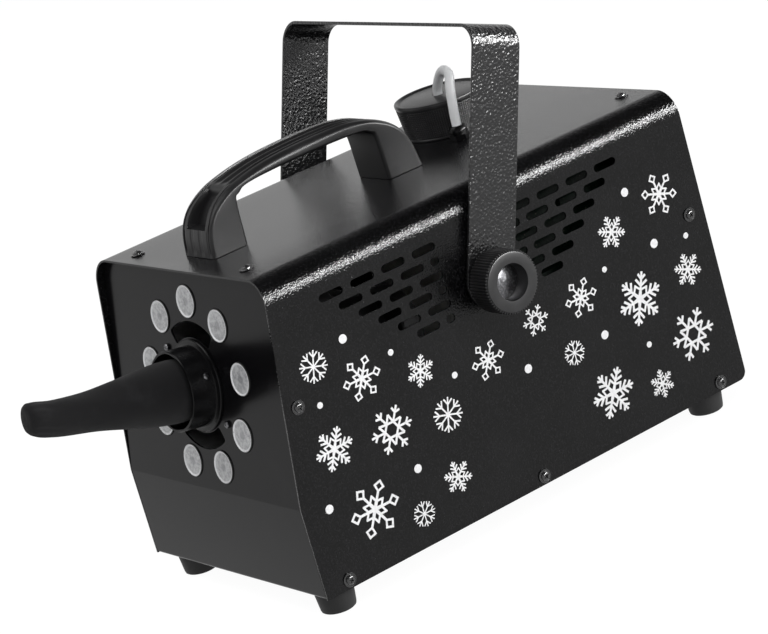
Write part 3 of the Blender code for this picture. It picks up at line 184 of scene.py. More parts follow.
paint = Finish("pale_floor")
lit = paint.node("ShaderNodeBsdfDiffuse", {}, {"Color": (0.86, 0.86, 0.86, 1)})
white = paint.node("ShaderNodeEmission", {}, {"Color": (1, 1, 1, 1), "Strength": 1.07})
direct, glanced, crossed = (paint.node("ShaderNodeLightPath", output=ray) for ray in RAYS)
plain = (direct + glanced + crossed).math("MINIMUM", 1.0) * 0.90
paint.node("ShaderNodeOutputMaterial", {},
           {"Surface": paint.node("ShaderNodeMixShader", {}, {0: plain, 1: lit, 2: white})}, None)
REACH = 14.0
SQUARE = ((-1, -1), (1, -1), (1, 1), (-1, 1))
ground = bpy.data.meshes.new("floor")
ground.from_pydata([(a * REACH, b * REACH, 0) for a, b in SQUARE], [], [(0, 1, 2, 3)])
ground.materials.append(paint.material)
floor = put("floor", ground)


def soft_light(name, towards, distance, size, watts):
    """A flat light that faces the machine from a direction."""
    lamp = bpy.data.lights.new(name, "AREA")
    lamp.shape, (lamp.size, lamp.size_y), lamp.energy = "RECTANGLE", size, watts
    holder = put(name, lamp)
    way = Vector(towards).normalized()
    holder.matrix_world = (Matrix.Translation(AIM + way * distance)
                           @ way.to_track_quat("Z", "Y").to_matrix().to_4x4())
    holder.visible_camera = False
    return holder


soft_light("soft_box", (-0.35, -0.55, 0.95), 2.2, (1.3, 1.3), 18)
soft_light("fill", (0.75, -0.20, 0.60), 2.2, (1.3, 1.3), 32).visible_glossy = False
soft_light("strip", (0.78, 0.53, 0.35), 2.0, (2.4, 0.17), 148).visible_diffuse = False


# Base, front and rear panel
# One black-coated steel sheet, 1.2 mm thick, folded up at the front and rear. The front leans back over a
# fold and is punched for the nozzle, two kidney-shaped air slots and nine lamps. Flanges carry the cover's
# screws.

GAP, SHEET, THROUGH = 0.0003, 0.0012, 0.01
BODY_W, BODY_L, BODY_H = 0.190, 0.327, 0.187
BEND_R, CHASSIS_BEND = 0.0155, 0.002
FOLD_Z, REAR_Y = 0.0557, 0.326
PANEL_LEAN = math.atan2(0.0235, BODY_H - FOLD_Z)
CHASSIS_X = BODY_W / 2 - SHEET - GAP
INNER_TOP = BODY_H - SHEET - GAP
FLANGE, BASE_FLANGE, FLANGE_FOOT = 0.020, 0.013, 0.015
NOZZLE_UP, MOUTH_R = 0.0628, 0.0218
KIDNEY_IN, KIDNEY_OUT, KIDNEY_HALF, KIDNEY_CORNER = 0.0285, 0.0383, math.radians(37), 0.0018
LAMPS, LAMP_RING_R, LAMP_R = 9, 0.0500, 0.0100
SCREW_HOLE_R = 0.0018
SIDE_SCREWS = [(0.0172, 0.1120), (0.0172, 0.0053), (0.1635, 0.0053), (0.3063, 0.0053), (0.3150, 0.1120)]
TOP_SCREWS = [(side * 0.0606, y) for side in (1, -1) for y in (0.0305, 0.3140)]
FITTING_X, INLET_Z, SWITCH_Z, LEVEL_Z = 0.046, 0.040, 0.090, 0.136
INLET_HOLE, SWITCH_HOLE, LEVEL_HOLE_R = (0.0281, 0.0386), (0.0136, 0.0196), 0.0039


def at(x, y, z):
    """The place of a shape that stands at a point of the case."""
    return Matrix.Translation(spot(x, y, z))


def shift(x, y, z):
    """A move by so much."""
    return Matrix.Translation((x, y, z))


def spin(turn, axis):
    """A turn round an axis."""
    return Matrix.Rotation(turn, 4, axis)


# The frames of the case, of the nozzle, where z blows out square to the panel and y runs up it, and of the
# rear panel, where z points back.
case = at(0, 0, 0)
blow = (at(0, NOZZLE_UP * math.sin(PANEL_LEAN), FOLD_Z + NOZZLE_UP * math.cos(PANEL_LEAN))
        @ spin(math.pi / 2 - PANEL_LEAN, "X"))
rear = at(0, REAR_Y, 0) @ spin(math.pi, "Z") @ spin(math.pi / 2, "X")


def solid(bm, place=Matrix()):
    """The mesh of a bmesh, with its faces pointing out, brought to its place."""
    bmesh.ops.recalc_face_normals(bm, faces=bm.faces)
    mesh = bpy.data.meshes.new("solid")
    bm.to_mesh(mesh)
    bm.free()
    mesh.transform(place)
    return mesh


def change(work, kind, **settings):
    """Add a modifier with its settings."""
    made = work.modifiers.new(kind.lower(), kind)
    for name, value in settings.items():
        setattr(made, name, value)


def soften(work, width):
    """Break the sharp edges of a working object."""
    change(work, "BEVEL", width=width, segments=2, limit_method="ANGLE", angle_limit=math.radians(40))


def carve(work, *tools, operation="DIFFERENCE"):
    """Cut with, or join, other working objects."""
    for tool in tools:
        change(work, "BOOLEAN", object=tool, operation=operation, solver="EXACT")


def worked(work, *spent):
    """The mesh of a working object with its modifiers worked in. It and its spent tools are cleared away."""
    bpy.context.view_layer.update()
    shapes = bpy.context.evaluated_depsgraph_get()
    mesh = bpy.data.meshes.new_from_object(work.evaluated_get(shapes), preserve_all_data_layers=True,
                                           depsgraph=shapes)
    for done in (work, *spent):
        bpy.data.objects.remove(done)
    return mesh


def settle(name, mesh, finish, body, stands_for=(), sharp=32):
    """A finished mesh becomes a named piece that rides on a body."""
    mesh.name = name
    mesh.shade_smooth()
    mesh.set_sharp_from_angle(angle=math.radians(sharp))
    mesh.materials.clear()
    mesh.materials.append(finish)
    piece = put(name, mesh)
    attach(piece, body)
    if stands_for:
        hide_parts(*stands_for)
    return piece


def toned(name, low, high, wide, fine, rough, depth, swell=0.0, **steady):
    """A finish of two colours that a wide noise shares out, with a relief of fine noise.

    Each noise is its lumps' size, detail and roughness. The wide one may go on with the limits it is
    stretched between, and does the fine one's work where that is None. rough is the least roughness, what
    the relief adds and what the share adds. swell is how much of the share joins the relief.
    """
    made = Finish(name)
    lumps = made.noise(*wide[:3])
    share = lumps.between(*wide[3:]) if wide[3:] else lumps
    relief = made.noise(*fine) if fine else lumps
    least, by_relief, by_share = rough
    return made.close(made.blend(low, high, share), relief * by_relief + share * by_share + least,
                      relief + share * swell, depth, **steady)


def prism(outline, low, high, axis="z"):
    """A flat outline pushed from low to high along an axis; across x it is (y, z), across y (x, z)."""
    order = {"x": (2, 0, 1), "y": (0, 2, 1), "z": (0, 1, 2)}[axis]
    bm = bmesh.new()
    ends = [[bm.verts.new([(*point, end)[i] for i in order]) for point in outline] for end in (low, high)]
    bm.faces.new(ends[0])
    bm.faces.new(ends[1])
    for i in range(len(outline)):
        bm.faces.new((ends[0][i], ends[0][i - 1], ends[1][i - 1], ends[1][i]))
    return bm


def block(outline, low=-THROUGH, high=THROUGH, axis="z", place=case):
    """A working object: a prism that is joined to another or punches a hole in it."""
    return put("block", solid(prism(outline, low, high, axis), place))


def arc(radius, first, last, steps, centre=(0, 0)):
    """Points along an arc."""
    turns = [first + (last - first) * step / steps for step in range(steps + 1)]
    return [(centre[0] + radius * math.cos(turn), centre[1] + radius * math.sin(turn)) for turn in turns]


def circle(radius, steps, centre=(0, 0)):
    """Points round a circle."""
    return arc(radius, 0, math.tau, steps, centre)[:-1]


def rectangle(size, centre=(0, 0)):
    """The corners of a rectangle."""
    return [(centre[0] + a * size[0] / 2, centre[1] + b * size[1] / 2) for a, b in SQUARE]


def rounded_path(corners, radius, steps):
    """An open 2D path with an arc in place of each inner corner."""
    path = [Vector(corners[0])]
    for before, corner, after in zip(corners, corners[1:], corners[2:]):
        corner = Vector(corner)
        way_in = (corner - Vector(before)).normalized()
        way_out = (Vector(after) - corner).normalized()
        turn = way_in.angle_signed(way_out)
        start = corner - way_in * radius * math.tan(abs(turn) / 2)
        centre = start + Vector((way_in.y, -way_in.x)) * math.copysign(radius, turn)
        for step in range(steps + 1):
            arm = start - centre
            arm.rotate(Matrix.Rotation(-turn * step / steps, 2))
            path.append(centre + arm)
    path.append(Vector(corners[-1]))
    return path


def folded(path, across, low, high, thickness, place=case):
    """Sheet metal: an open path pushed across x or y and thickened on its inner side."""
    points = [(w, u, v) if across == "x" else (u, w, v) for w in (low, high) for u, v in path]
    count = len(path)
    mesh = bpy.data.meshes.new("folded")
    mesh.from_pydata(points, [], [(i, i + 1, count + i + 1, count + i) for i in range(count - 1)])
    mesh.transform(place)
    work = put("folded", mesh)
    change(work, "SOLIDIFY", thickness=thickness, offset=-1, use_even_offset=True)
    return work


def screw_holes(steps, reach):
    """Punches for the cover's screws: five through both sides, and four in the top."""
    holes = [block(circle(SCREW_HOLE_R, steps, where), -BODY_W, BODY_W, "x") for where in SIDE_SCREWS]
    return holes + [block(circle(SCREW_HOLE_R, steps, where), BODY_H - reach, BODY_H + reach)
                    for where in TOP_SCREWS]


def kidney():
    """One air slot at 12 o'clock, with rounded corners. It is drawn as (up, across) and then swapped."""
    side_on = KIDNEY_HALF + math.pi / 2
    half = []
    for radius, inner in ((KIDNEY_OUT - KIDNEY_CORNER, False), (KIDNEY_IN + KIDNEY_CORNER, True)):
        lean = KIDNEY_HALF - math.asin(KIDNEY_CORNER / radius)
        first, last = (side_on, lean + math.pi) if inner else (lean, side_on)
        half += arc(KIDNEY_CORNER, first, last, 6, (radius * math.cos(lean), radius * math.sin(lean)))
    spread = KIDNEY_HALF * 0.88
    outline = arc(KIDNEY_OUT, -spread, spread, 24) + half + arc(KIDNEY_IN, spread, -spread, 24)
    outline += [(up, -across) for up, across in reversed(half)]
    return [(across, up) for up, across in outline]


def panel_y(z):
    """The front panel's outer face at a height."""
    return max(0.0, z - FOLD_Z) * math.tan(PANEL_LEAN)


profile = [(panel_y(INNER_TOP) + FLANGE, INNER_TOP), (panel_y(INNER_TOP), INNER_TOP), (0, FOLD_Z), (0, 0),
           (REAR_Y, 0), (REAR_Y, INNER_TOP), (REAR_Y - FLANGE, INNER_TOP)]
chassis = folded(rounded_path(profile, CHASSIS_BEND, 6), "x", -CHASSIS_X, CHASSIS_X, SHEET)
MID = SHEET / 2
flange_top = BODY_H - BEND_R - SHEET
flange_y = panel_y(flange_top)
flange_outlines = [
    [(MID, FLANGE_FOOT), (MID, FOLD_Z), (flange_y + MID, flange_top), (flange_y + FLANGE, flange_top),
     (FLANGE, FOLD_Z), (FLANGE, FLANGE_FOOT)],
    [(REAR_Y - FLANGE, FLANGE_FOOT), (REAR_Y - MID, FLANGE_FOOT), (REAR_Y - MID, flange_top),
     (REAR_Y - FLANGE, flange_top)],
    [(FLANGE / 2, MID), (REAR_Y - FLANGE / 2, MID), (REAR_Y - FLANGE / 2, BASE_FLANGE),
     (FLANGE / 2, BASE_FLANGE)]]
flanges = [block(outline, *sorted((side * (CHASSIS_X - SHEET), side * CHASSIS_X)), "x")
           for side in (1, -1) for outline in flange_outlines]
carve(chassis, *flanges, operation="UNION")
corner_r = BEND_R - SHEET - GAP
outside = [(CHASSIS_X + FLANGE, INNER_TOP - corner_r),
           *arc(corner_r, 0, math.pi / 2, 16, (CHASSIS_X - corner_r, INNER_TOP - corner_r)),
           (CHASSIS_X - corner_r, INNER_TOP + FLANGE), (CHASSIS_X + FLANGE, INNER_TOP + FLANGE)]
punches = [block([(side * x, z) for x, z in outside], -FLANGE, BODY_L + FLANGE, "y") for side in (1, -1)]
punches += screw_holes(16, FLANGE)
punches.append(block(circle(MOUTH_R, 72), place=blow))
punches += [block(kidney(), place=blow @ spin(turn, "Z")) for turn in (0, math.pi)]
for turn in (math.tau * number / LAMPS for number in range(LAMPS)):
    lamp_at = (LAMP_RING_R * math.sin(turn), LAMP_RING_R * math.cos(turn))
    punches.append(block(circle(LAMP_R + GAP, 48, lamp_at), place=blow))
punches += [block(rectangle(hole, (-FITTING_X, z)), place=rear)
            for hole, z in ((INLET_HOLE, INLET_Z), (SWITCH_HOLE, SWITCH_Z))]
punches.append(block(circle(LEVEL_HOLE_R, 32, (-FITTING_X, LEVEL_Z)), place=rear))
carve(chassis, *punches)
soften(chassis, 0.00022)
SMOOTH_COAT = toned("smooth_black_coat", (0.0026, 0.0025, 0.0029), (0.0048, 0.0046, 0.0053),
                    (0.030, 4.0, 0.6, 0.52, 0.78), (0.00035, 3.0), (0.16, 0.06, 0.05), 0.000008,
                    Specular_IOR_Level=0.10)
settle("base_and_panels", worked(chassis, *flanges, *punches), SMOOTH_COAT, "machine",
       ["chassis"], sharp=18)


# Feet
# Four tapered feet, moulded in black rubber, each held by a screw up through its hollow middle.

def turned(profile, steps, ring=False):
    """A profile of (radius, height) turned about the local z axis. A ring's profile closes on itself."""
    bm = bmesh.new()
    rows = [[bm.verts.new((0, 0, height))] if radius < 1e-7 else
            [bm.verts.new((x, y, height)) for x, y in circle(radius, steps)] for radius, height in profile]
    pairs = list(zip(rows, rows[1:])) + ([(rows[-1], rows[0])] if ring else [])
    for near, far in pairs:
        for i in range(steps):
            j = (i + 1) % steps
            loop = [near[i % len(near)], near[j % len(near)], far[j % len(far)], far[i % len(far)]]
            corners = list(dict.fromkeys(loop))
            if len(corners) > 2:
                bm.faces.new(corners)
    return bm


FOOT_H, FOOT_X, FOOT_FRONT, FOOT_REAR = 0.0154, 0.0755, 0.0165, 0.3055
foot = [(0, -GAP), (0.0118, -GAP), (0.0122, -GAP - 0.0004), (0.0119, -0.0026), (0.01075, 0.0020 - FOOT_H),
        (0.0104, 0.0008 - FOOT_H), (0.0096, 0.0002 - FOOT_H), (0.0088, -FOOT_H), (0.0050, -FOOT_H),
        (0.0046, 0.0004 - FOOT_H), (0.0044, 0.0012 - FOOT_H), (0.0044, -0.0070), (0.0040, -0.0062),
        (0.0022, -0.0062), (0.0018, -0.0072), (0, -0.0072)]
RUBBER = toned("rubber", (0.006, 0.006, 0.0063), (0.014, 0.0138, 0.0136), (0.004, 4.0, 0.65, 0.55, 0.75),
               (0.0006, 3.0, 0.6), (0.62, 0.0, 0.2), 0.00006, swell=0.5, Specular_IOR_Level=0.3)
for row, y in (("front", FOOT_FRONT), ("rear", FOOT_REAR)):
    for side, x in (("right", FOOT_X), ("left", -FOOT_X)):
        settle(f"rubber_foot_{row}_{side}", solid(turned(foot, 48), at(x, y, 0)), RUBBER, "machine",
               [f"foot_{row}_{side}"])


# Lamps
# Nine high-power lamps on a ring board. Only their frosted plastic lenses show: shallow domes with a raised
# rim, moulded with fine rays that spread the light, and a dimple in the middle.

def grow(work, tree, **inputs):
    """Give a working object a geometry tree and fill in the tree's inputs by their sockets' identifiers."""
    growth = work.modifiers.new(tree.name, "NODES")
    growth.node_group = tree
    for item in tree.interface.items_tree:
        if item.in_out == "INPUT" and item.name in inputs:
            growth[item.identifier] = inputs[item.name]
    return work


def tree_of(name, **kinds):
    """The nodes of an empty geometry tree, and its inputs: the geometry, the given ones and the finish."""
    tree = bpy.data.node_groups.new(name, "GeometryNodeTree")
    kinds = {"Geometry": "Geometry", **kinds, "Finish": "Material"}
    for label, kind in kinds.items():
        tree.interface.new_socket(label, in_out="INPUT", socket_type="NodeSocket" + kind)
    tree.interface.new_socket("Geometry", in_out="OUTPUT", socket_type="NodeSocketGeometry")
    grown = Nodes(tree)
    return grown, [grown.node("NodeGroupInput", output=label) for label in kinds]


def planted(grown, finish, turn, **sockets):
    """End a geometry tree: copies on points, made real and given their material."""
    sockets["Rotation"] = grown.node("FunctionNodeEulerToRotation", {}, {0: turn})
    copies = grown.node("GeometryNodeInstanceOnPoints", {}, sockets)
    real = grown.node("GeometryNodeRealizeInstances", {}, {0: copies})
    coated = grown.node("GeometryNodeSetMaterial", {}, {"Geometry": real, "Material": finish})
    grown.node("NodeGroupOutput", {}, {0: coated}, None)
    return grown.tree


def ring_tree():
    """Count copies of the incoming shape over a full turn round the z axis, the first at First."""
    grown, (shape, count, first, finish) = tree_of("copies_round_an_axis", Count="Int", First="Float")
    angle = grown.node("GeometryNodeInputIndex").math("DIVIDE", count) * math.tau + first
    turn = grown.node("ShaderNodeCombineXYZ", {}, {"Z": angle})
    return planted(grown, finish, turn, Points=grown.node("GeometryNodePoints", {}, {"Count": count}),
                   Instance=shape)


ROUND_AN_AXIS = ring_tree()


def ring_of(bm, count, finish, place=Matrix(), first=0.0):
    """The mesh of that many copies of a shape round its axis, brought to its place."""
    mesh = worked(grow(put("ring", solid(bm)), ROUND_AN_AXIS, Count=count, First=first, Finish=finish))
    mesh.transform(place)
    return mesh


LENS_LIP, LENS_DEPTH, LENS_PROUD = 0.0006, 0.011, 0.0008
lens_profile = [(0, 0.00052), (0.0009, 0.00046), (0.0018, 0.00038), (0.0026, 0.00050), (0.0042, 0.00062),
                (0.0060, 0.00060), (0.0078, 0.00046), (0.0086, 0.00034), (0.0089, 0.00052),
                (0.0092, LENS_PROUD), (0.0097, LENS_PROUD), (0.00992, 0.00062), (LAMP_R, 0.00030),
                (LAMP_R, -SHEET - GAP),
                (LAMP_R + LENS_LIP, -SHEET - GAP), (LAMP_R + LENS_LIP, -LENS_DEPTH), (0, -LENS_DEPTH)]
frost = Finish("frosted_lens")
flat = frost.node("ShaderNodeUVMap", {"uv_map": "lens"})
out = frost.node("ShaderNodeVectorMath", {"operation": "LENGTH"}, {0: flat}, 1)
bearing = frost.axis(1, flat).math("ARCTAN2", frost.axis(0, flat))
streaks = frost.node("ShaderNodeTexNoise", {}, {
    "Vector": frost.node("ShaderNodeCombineXYZ", {}, {"X": bearing * 9.0, "Y": out * 1.4,
                                                      "Z": frost.noise(0.04, 0.0) * 6.0}),
    "Scale": 1.0, "Detail": 3.0})
eye = 1 - out.between(0.16, 0.34)
specks = frost.noise(0.0011, 1.0).between(0.66, 0.74)
mottle = frost.noise(0.0022, 3.0, 0.6).between(0.36, 0.62)
tone = frost.blend((0.20, 0.203, 0.21), (0.42, 0.423, 0.43),
                   streaks.between(0.30, 0.72) * 0.35 + mottle * 0.65)
for colour, cover_up in (((0.13, 0.133, 0.14), eye * 0.60),
                         # Painted highlight: the raised rim is painted paler all round, for the light it
                         # catches.
                         ((0.62, 0.625, 0.635), out.between(0.80, 0.88) * 0.8),
                         ((0.06, 0.06, 0.065), specks * 0.7 * out.between(0.2, 0.5)),
                         # Painted shadow: a near-black line round the lens's edge stands in for the shade in
                         # the gap at the hole's edge.
                         ((0.004, 0.004, 0.004), out.between(0.945, 0.965))):
    tone = frost.blend(tone, colour, cover_up)
FROSTED = frost.close(tone, 0.30 + streaks * 0.25, streaks, 0.00014, Subsurface_Weight=0.12,
                      Subsurface_Radius=(0.002,) * 3, Coat_Weight=0.25, Coat_Roughness=0.2)
one_lens = turned(lens_profile, 48)
bmesh.ops.recalc_face_normals(one_lens, faces=one_lens.faces)
flat_map = one_lens.loops.layers.uv.new("lens")
for face in one_lens.faces:
    for loop in face.loops:
        loop[flat_map].uv = (loop.vert.co.x / LAMP_R, loop.vert.co.y / LAMP_R)
bmesh.ops.translate(one_lens, verts=one_lens.verts, vec=(LAMP_RING_R, 0, 0))
settle("lamp_lenses", ring_of(one_lens, LAMPS, FROSTED, blow, math.pi / 2), FROSTED, "machine",
       [f"lamp_lens_{number}" for number in range(1, LAMPS + 1)])

board = Finish("green_circuit_board")
tracks = board.noise(0.003, 2.0, 0.5, 1.5).between(0.50, 0.54)
dots = board.node("ShaderNodeTexVoronoi", {}, {"Vector": board.places, "Scale": 300.0}, "Distance")
green = board.blend((0.0012, 0.0040, 0.0024), (0.0020, 0.0070, 0.0038), tracks)
BOARD = board.close(board.blend(green, (0.05, 0.045, 0.035), 1 - dots.between(0.10, 0.14)), 0.60, tracks,
                    0.00004, Specular_IOR_Level=0.05)


def dress(finish, *nodes):
    """A CAD node keeps its shape and gets a better finish."""
    for node in nodes:
        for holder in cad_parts[node].material_slots:
            holder.material = finish


dress(BOARD, "lamp_board")


# Nozzle
# A short glossy collar is clamped to the panel round the mouth by small pan-head screws. Behind it a sheet
# duct, the inner tube on its spider and the brass spray tip carry air and fluid.

COLLAR_IN, COLLAR_R, COLLAR_LENGTH, COLLAR_FLANGE_R, COLLAR_FLANGE_T = 0.0224, 0.0240, 0.018, 0.0276, 0.0018
collar_profile = [(COLLAR_IN, GAP), (COLLAR_IN, COLLAR_LENGTH - 0.0003), (COLLAR_IN + 0.0003, COLLAR_LENGTH),
                  (COLLAR_R - 0.0004, COLLAR_LENGTH), (COLLAR_R, COLLAR_LENGTH - 0.0005),
                  (COLLAR_R, COLLAR_FLANGE_T + 0.0010), (COLLAR_R + 0.0003, COLLAR_FLANGE_T + 0.0003),
                  (COLLAR_R + 0.0010, COLLAR_FLANGE_T), (COLLAR_FLANGE_R - 0.0005, COLLAR_FLANGE_T),
                  (COLLAR_FLANGE_R, COLLAR_FLANGE_T - 0.0005), (COLLAR_FLANGE_R, GAP)]
GLOSS = toned("glossy_black_coat", (0.0020, 0.0020, 0.0022), (0.0045, 0.0044, 0.0048), (0.008, 3.0, 0.6),
              (0.0009, 2.0), (0.20, 0.0, 0.12), 0.00001, Specular_IOR_Level=0.12)
settle("nozzle_collar_piece", solid(turned(collar_profile, 96, ring=True), blow), GLOSS, "machine",
       ["nozzle_collar"])


def together(*meshes):
    """One mesh of several, which are cleared away."""
    whole = bmesh.new()
    for mesh in meshes:
        whole.from_mesh(mesh)
        bpy.data.meshes.remove(mesh)
    joined = bpy.data.meshes.new("joined")
    whole.to_mesh(joined)
    whole.free()
    return joined


SCREW_STEEL = toned("black_zinc_screw", (0.10, 0.10, 0.105), (0.30, 0.30, 0.31),
                    (0.0012, 4.0, 0.6, 0.45, 0.75), None, (0.22, 0.2, 0.0), 0.00002, Metallic=1.0)
button = [(0, -0.0006), (0.0021, -0.0006), (0.0022, 0.0), (0.0021, 0.0007), (0.0014, 0.0013),
          (0.0007, 0.0014), (0.0006, 0.0008), (0, 0.0008)]
button_places = [spin(math.radians(-turn), "Z") @ shift(0, 0.0348, 0.0006) for turn in (-54.6, 125.4)]
button_places.append(spin(math.radians(-68), "Z") @ shift(0, COLLAR_R + 0.0002, 0.0065)
                     @ spin(-math.pi / 2, "X"))
settle("nozzle_screws", together(*(solid(turned(button, 20), blow @ where) for where in button_places)),
       SCREW_STEEL, "machine")

ZINC = toned("zinc_plated_sheet", (0.42, 0.42, 0.43), (0.60, 0.60, 0.60), (0.012, 4.0, 0.6), (0.0004, 2.0),
             (0.30, 0.0, 0.18), 0.000015, Metallic=1.0)
dress(ZINC, "air_duct", "nozzle_tube", "sock_ring")
dress(toned("turned_brass", (0.56, 0.38, 0.13), (0.66, 0.50, 0.22), (0.002, 3.0), None, (0.24, 0.12, 0.0),
            0.00001, Metallic=1.0), "spray_tip")


# Sock
# Knitted black polyester mesh, cut flat, closed by a seam underneath and stitched across at the toe. Its
# cuff is stretched over the inner tube, under the clamping ring, and its air-filled body narrows to the toe.

CUFF_R, CLOTH, STITCH = 0.0175, 0.0012, 0.0008
SOCK_AROUND, SOCK_STEPS = 72, 8
sock_sections = [(0.0005, 0, CUFF_R, CUFF_R), (0.009, 0, CUFF_R, CUFF_R), (0.016, 0, 0.0186, 0.0186),
                 (0.033, 0.0002, 0.0176, 0.0174), (0.054, 0.0004, 0.0146, 0.0143),
                 (0.074, 0.0010, 0.0118, 0.0116), (0.097, 0.0030, 0.0102, 0.0105),
                 (0.109, 0.0050, 0.0090, 0.0098), (0.1125, 0.0055, 0.0066, 0.0082),
                 (0.1136, 0.0057, 0.0036, 0.0070), (0.1138, 0.0057, 0.0009, 0.0062)]


def through(points, steps):
    """A smooth run of vectors through all the points."""
    points = [Vector(point) for point in points]
    points = [points[0] * 2 - points[1], *points, points[-1] * 2 - points[-2]]
    run = []
    for a, b, c, d in zip(points, points[1:], points[2:], points[3:]):
        for step in range(steps):
            t = step / steps
            run.append((b * 2 + (c - a) * t + (a * 2 - b * 5 + c * 4 - d) * t ** 2
                        + (b * 3 - a - c * 3 + d) * t ** 3) / 2)
    return [*run, points[-2]]


def tube_of(rows, ends=True):
    """A closed skin over rows of points."""
    bm = bmesh.new()
    made = [[bm.verts.new(point) for point in row] for row in rows]
    for near, far in zip(made, made[1:]):
        for i in range(len(near)):
            bm.faces.new((near[i], near[i - 1], far[i - 1], far[i]))
    if ends:
        bm.faces.new(made[0])
        bm.faces.new(made[-1])
    return bm


def ramp(value, low, high):
    """0 below low, 1 above high, and a straight line from one to the other."""
    return min(1.0, max(0.0, (value - low) / (high - low)))


def sock_rows():
    """The sock's rings, with the slack folds of the cloth, the seam below and the gathers at the toe."""
    rows = []
    for out_by, rise, wide, tall in through(sock_sections, SOCK_STEPS):
        loose = ramp(out_by, 0.016, 0.046) * ramp(-out_by, -0.1128, -0.1068)
        toe = ramp(out_by, 0.092, 0.106)
        row = []
        for i in range(SOCK_AROUND):
            turn = math.tau * i / SOCK_AROUND
            fold = (0.00032 * math.sin(3 * turn + out_by * 55)
                    + 0.00022 * math.sin(5 * turn - out_by * 120 + 1.3))
            gather = 0.00026 * toe * math.sin(14 * turn + 0.6 * math.sin(out_by * 400))
            seam = 0.0005 * math.exp(-((turn - 1.5 * math.pi) / 0.07) ** 2)
            swell = loose * (fold + gather) + seam * ramp(-out_by, -0.112, -0.102)
            row.append((math.cos(turn) * (wide + swell), rise + math.sin(turn) * (tall + swell), out_by))
        rows.append(row)
    return rows


sock_skin = tube_of(sock_rows(), ends=False)
loose_rim = [edge for edge in sock_skin.edges if edge.is_boundary and edge.verts[0].co.z > 0.1]
bmesh.ops.holes_fill(sock_skin, edges=loose_rim, sides=0)
bmesh.ops.triangulate(sock_skin, faces=[face for face in sock_skin.faces if len(face.verts) > 4])
bmesh.ops.recalc_face_normals(sock_skin, faces=sock_skin.faces)
weave_map = sock_skin.loops.layers.uv.new("weave")
for face in sock_skin.faces:
    turns = [math.atan2(loop.vert.co.y, loop.vert.co.x) % math.tau for loop in face.loops]
    split = max(turns) - min(turns) > math.pi
    for loop, turn in zip(face.loops, turns):
        turn += math.tau if split and turn < math.pi else 0.0
        loop[weave_map].uv = (turn * CUFF_R, loop.vert.co.z)
sock = put("sock", solid(sock_skin, blow))
change(sock, "SOLIDIFY", thickness=CLOTH, offset=-1, use_even_offset=False)

knit = Finish("black_knitted_mesh")
thread = knit.node("ShaderNodeUVMap", {"uv_map": "weave"})
over, down = ((knit.axis(number, thread) * (math.tau / STITCH)).math("SINE") for number in (0, 1))
stitch = over * down * 0.5 + 0.5
fluff = knit.noise(0.0007, 4.0, 0.7)
rubbed = knit.noise(0.018, 3.0, 0.6).between(0.50, 0.80)
yarn = knit.blend((0.0020, 0.0019, 0.0023), (0.0058, 0.0056, 0.0064), stitch)
KNIT = knit.close(knit.blend(yarn, (0.0110, 0.0108, 0.0120), rubbed), 0.90 + fluff * 0.1,
                  stitch * 0.6 + fluff * 0.6, 0.00016, Sheen_Weight=0.06, Sheen_Roughness=0.6,
                  Specular_IOR_Level=0.15)
sock_piece = settle("fabric_sock", worked(sock), KNIT, "machine", ["snow_sock"], sharp=75)


# Blower
# A turbine in a moulded grey scroll, with its motor behind, stands on a folded bracket inside the case.

dress(toned("grey_moulded_plastic", (0.030, 0.030, 0.032), (0.050, 0.050, 0.053), (0.010, 3.0),
            (0.0005, 2.0), (0.50, 0.0, 0.12), 0.00003, Specular_IOR_Level=0.2),
      "blower_housing", "blower_wheel")
DULL = toned("dull_inner_steel", (0.012, 0.012, 0.0124), (0.028, 0.028, 0.0285), (0.010, 3.0, 0.6), None,
             (0.50, 0.15, 0.0), 0.00004, Metallic=0.8)
dress(DULL, "blower_motor", "motor_bracket")


# Tank and pump
# A blow-moulded tank of undyed plastic, with its threaded neck under the hole in the top, and a small pump.

dress(toned("undyed_tank_plastic", (0.66, 0.66, 0.62), (0.76, 0.76, 0.73), (0.020, 3.0, 0.6), None,
            (0.36, 0.15, 0.0), 0.0003, Subsurface_Weight=0.25, Subsurface_Radius=(0.006,) * 3), "tank")
MOULDED = toned("black_moulded_plastic", (0.010, 0.0098, 0.0104), (0.020, 0.0196, 0.0205),
                (0.016, 4.0, 0.6, 0.45, 0.80), (0.00045, 3.0, 0.6), (0.34, 0.12, 0.08), 0.00005,
                Specular_IOR_Level=0.45)
dress(MOULDED, "pump")


# Control board
# A circuit board on a folded bracket behind the vent slots, where its green shows a little.

dress(BOARD, "control_board")
dress(DULL, "board_bracket", "level_control")


# Rear fittings
# A power inlet with its fuse drawer, a rocker switch and an output control, all snapped or nutted into the
# rear panel. Their faces are moulded in black plastic, and a printed scale goes round the control's knob.

FACE_T = 0.0022
SOCKET_Y, SOCKET_FLOOR, DRAWER_Y = INLET_Z - 0.0075, FACE_T - 0.018, INLET_Z + 0.012
fitting = rear @ shift(-FITTING_X, 0, 0)


def slab(size, middle, low, high, rounding=0.0, edge=0.0):
    """A block of size (wide, tall) round a middle, with rounded corners and a chamfered front edge."""
    rows = []
    for inset, z in ((0, low), (0, high - edge), (edge, high)) if edge else ((0, low), (0, high)):
        r = max(rounding - inset, 0.00005)
        corners = rectangle([length - 2 * (inset + r) for length in size], middle)
        row = []
        for quarter, corner in enumerate((corners[2], corners[3], corners[0], corners[1])):
            row += arc(r, math.pi / 2 * quarter, math.pi / 2 * (quarter + 1), 4, corner)
        rows.append([(x, y, z) for x, y in row])
    return tube_of(rows)


def fitted(name, body, node, first, joined=(), cut=()):
    """A moulded piece at the rear, out of slabs: the first one, those joined to it and those cut from it."""
    first, *others = (put("slab", solid(slab(*sizes), fitting)) for sizes in (first, *joined, *cut))
    carve(first, *others[:len(joined)], operation="UNION")
    carve(first, *others[len(joined):])
    settle(name, worked(first, *others), MOULDED, body, [node])


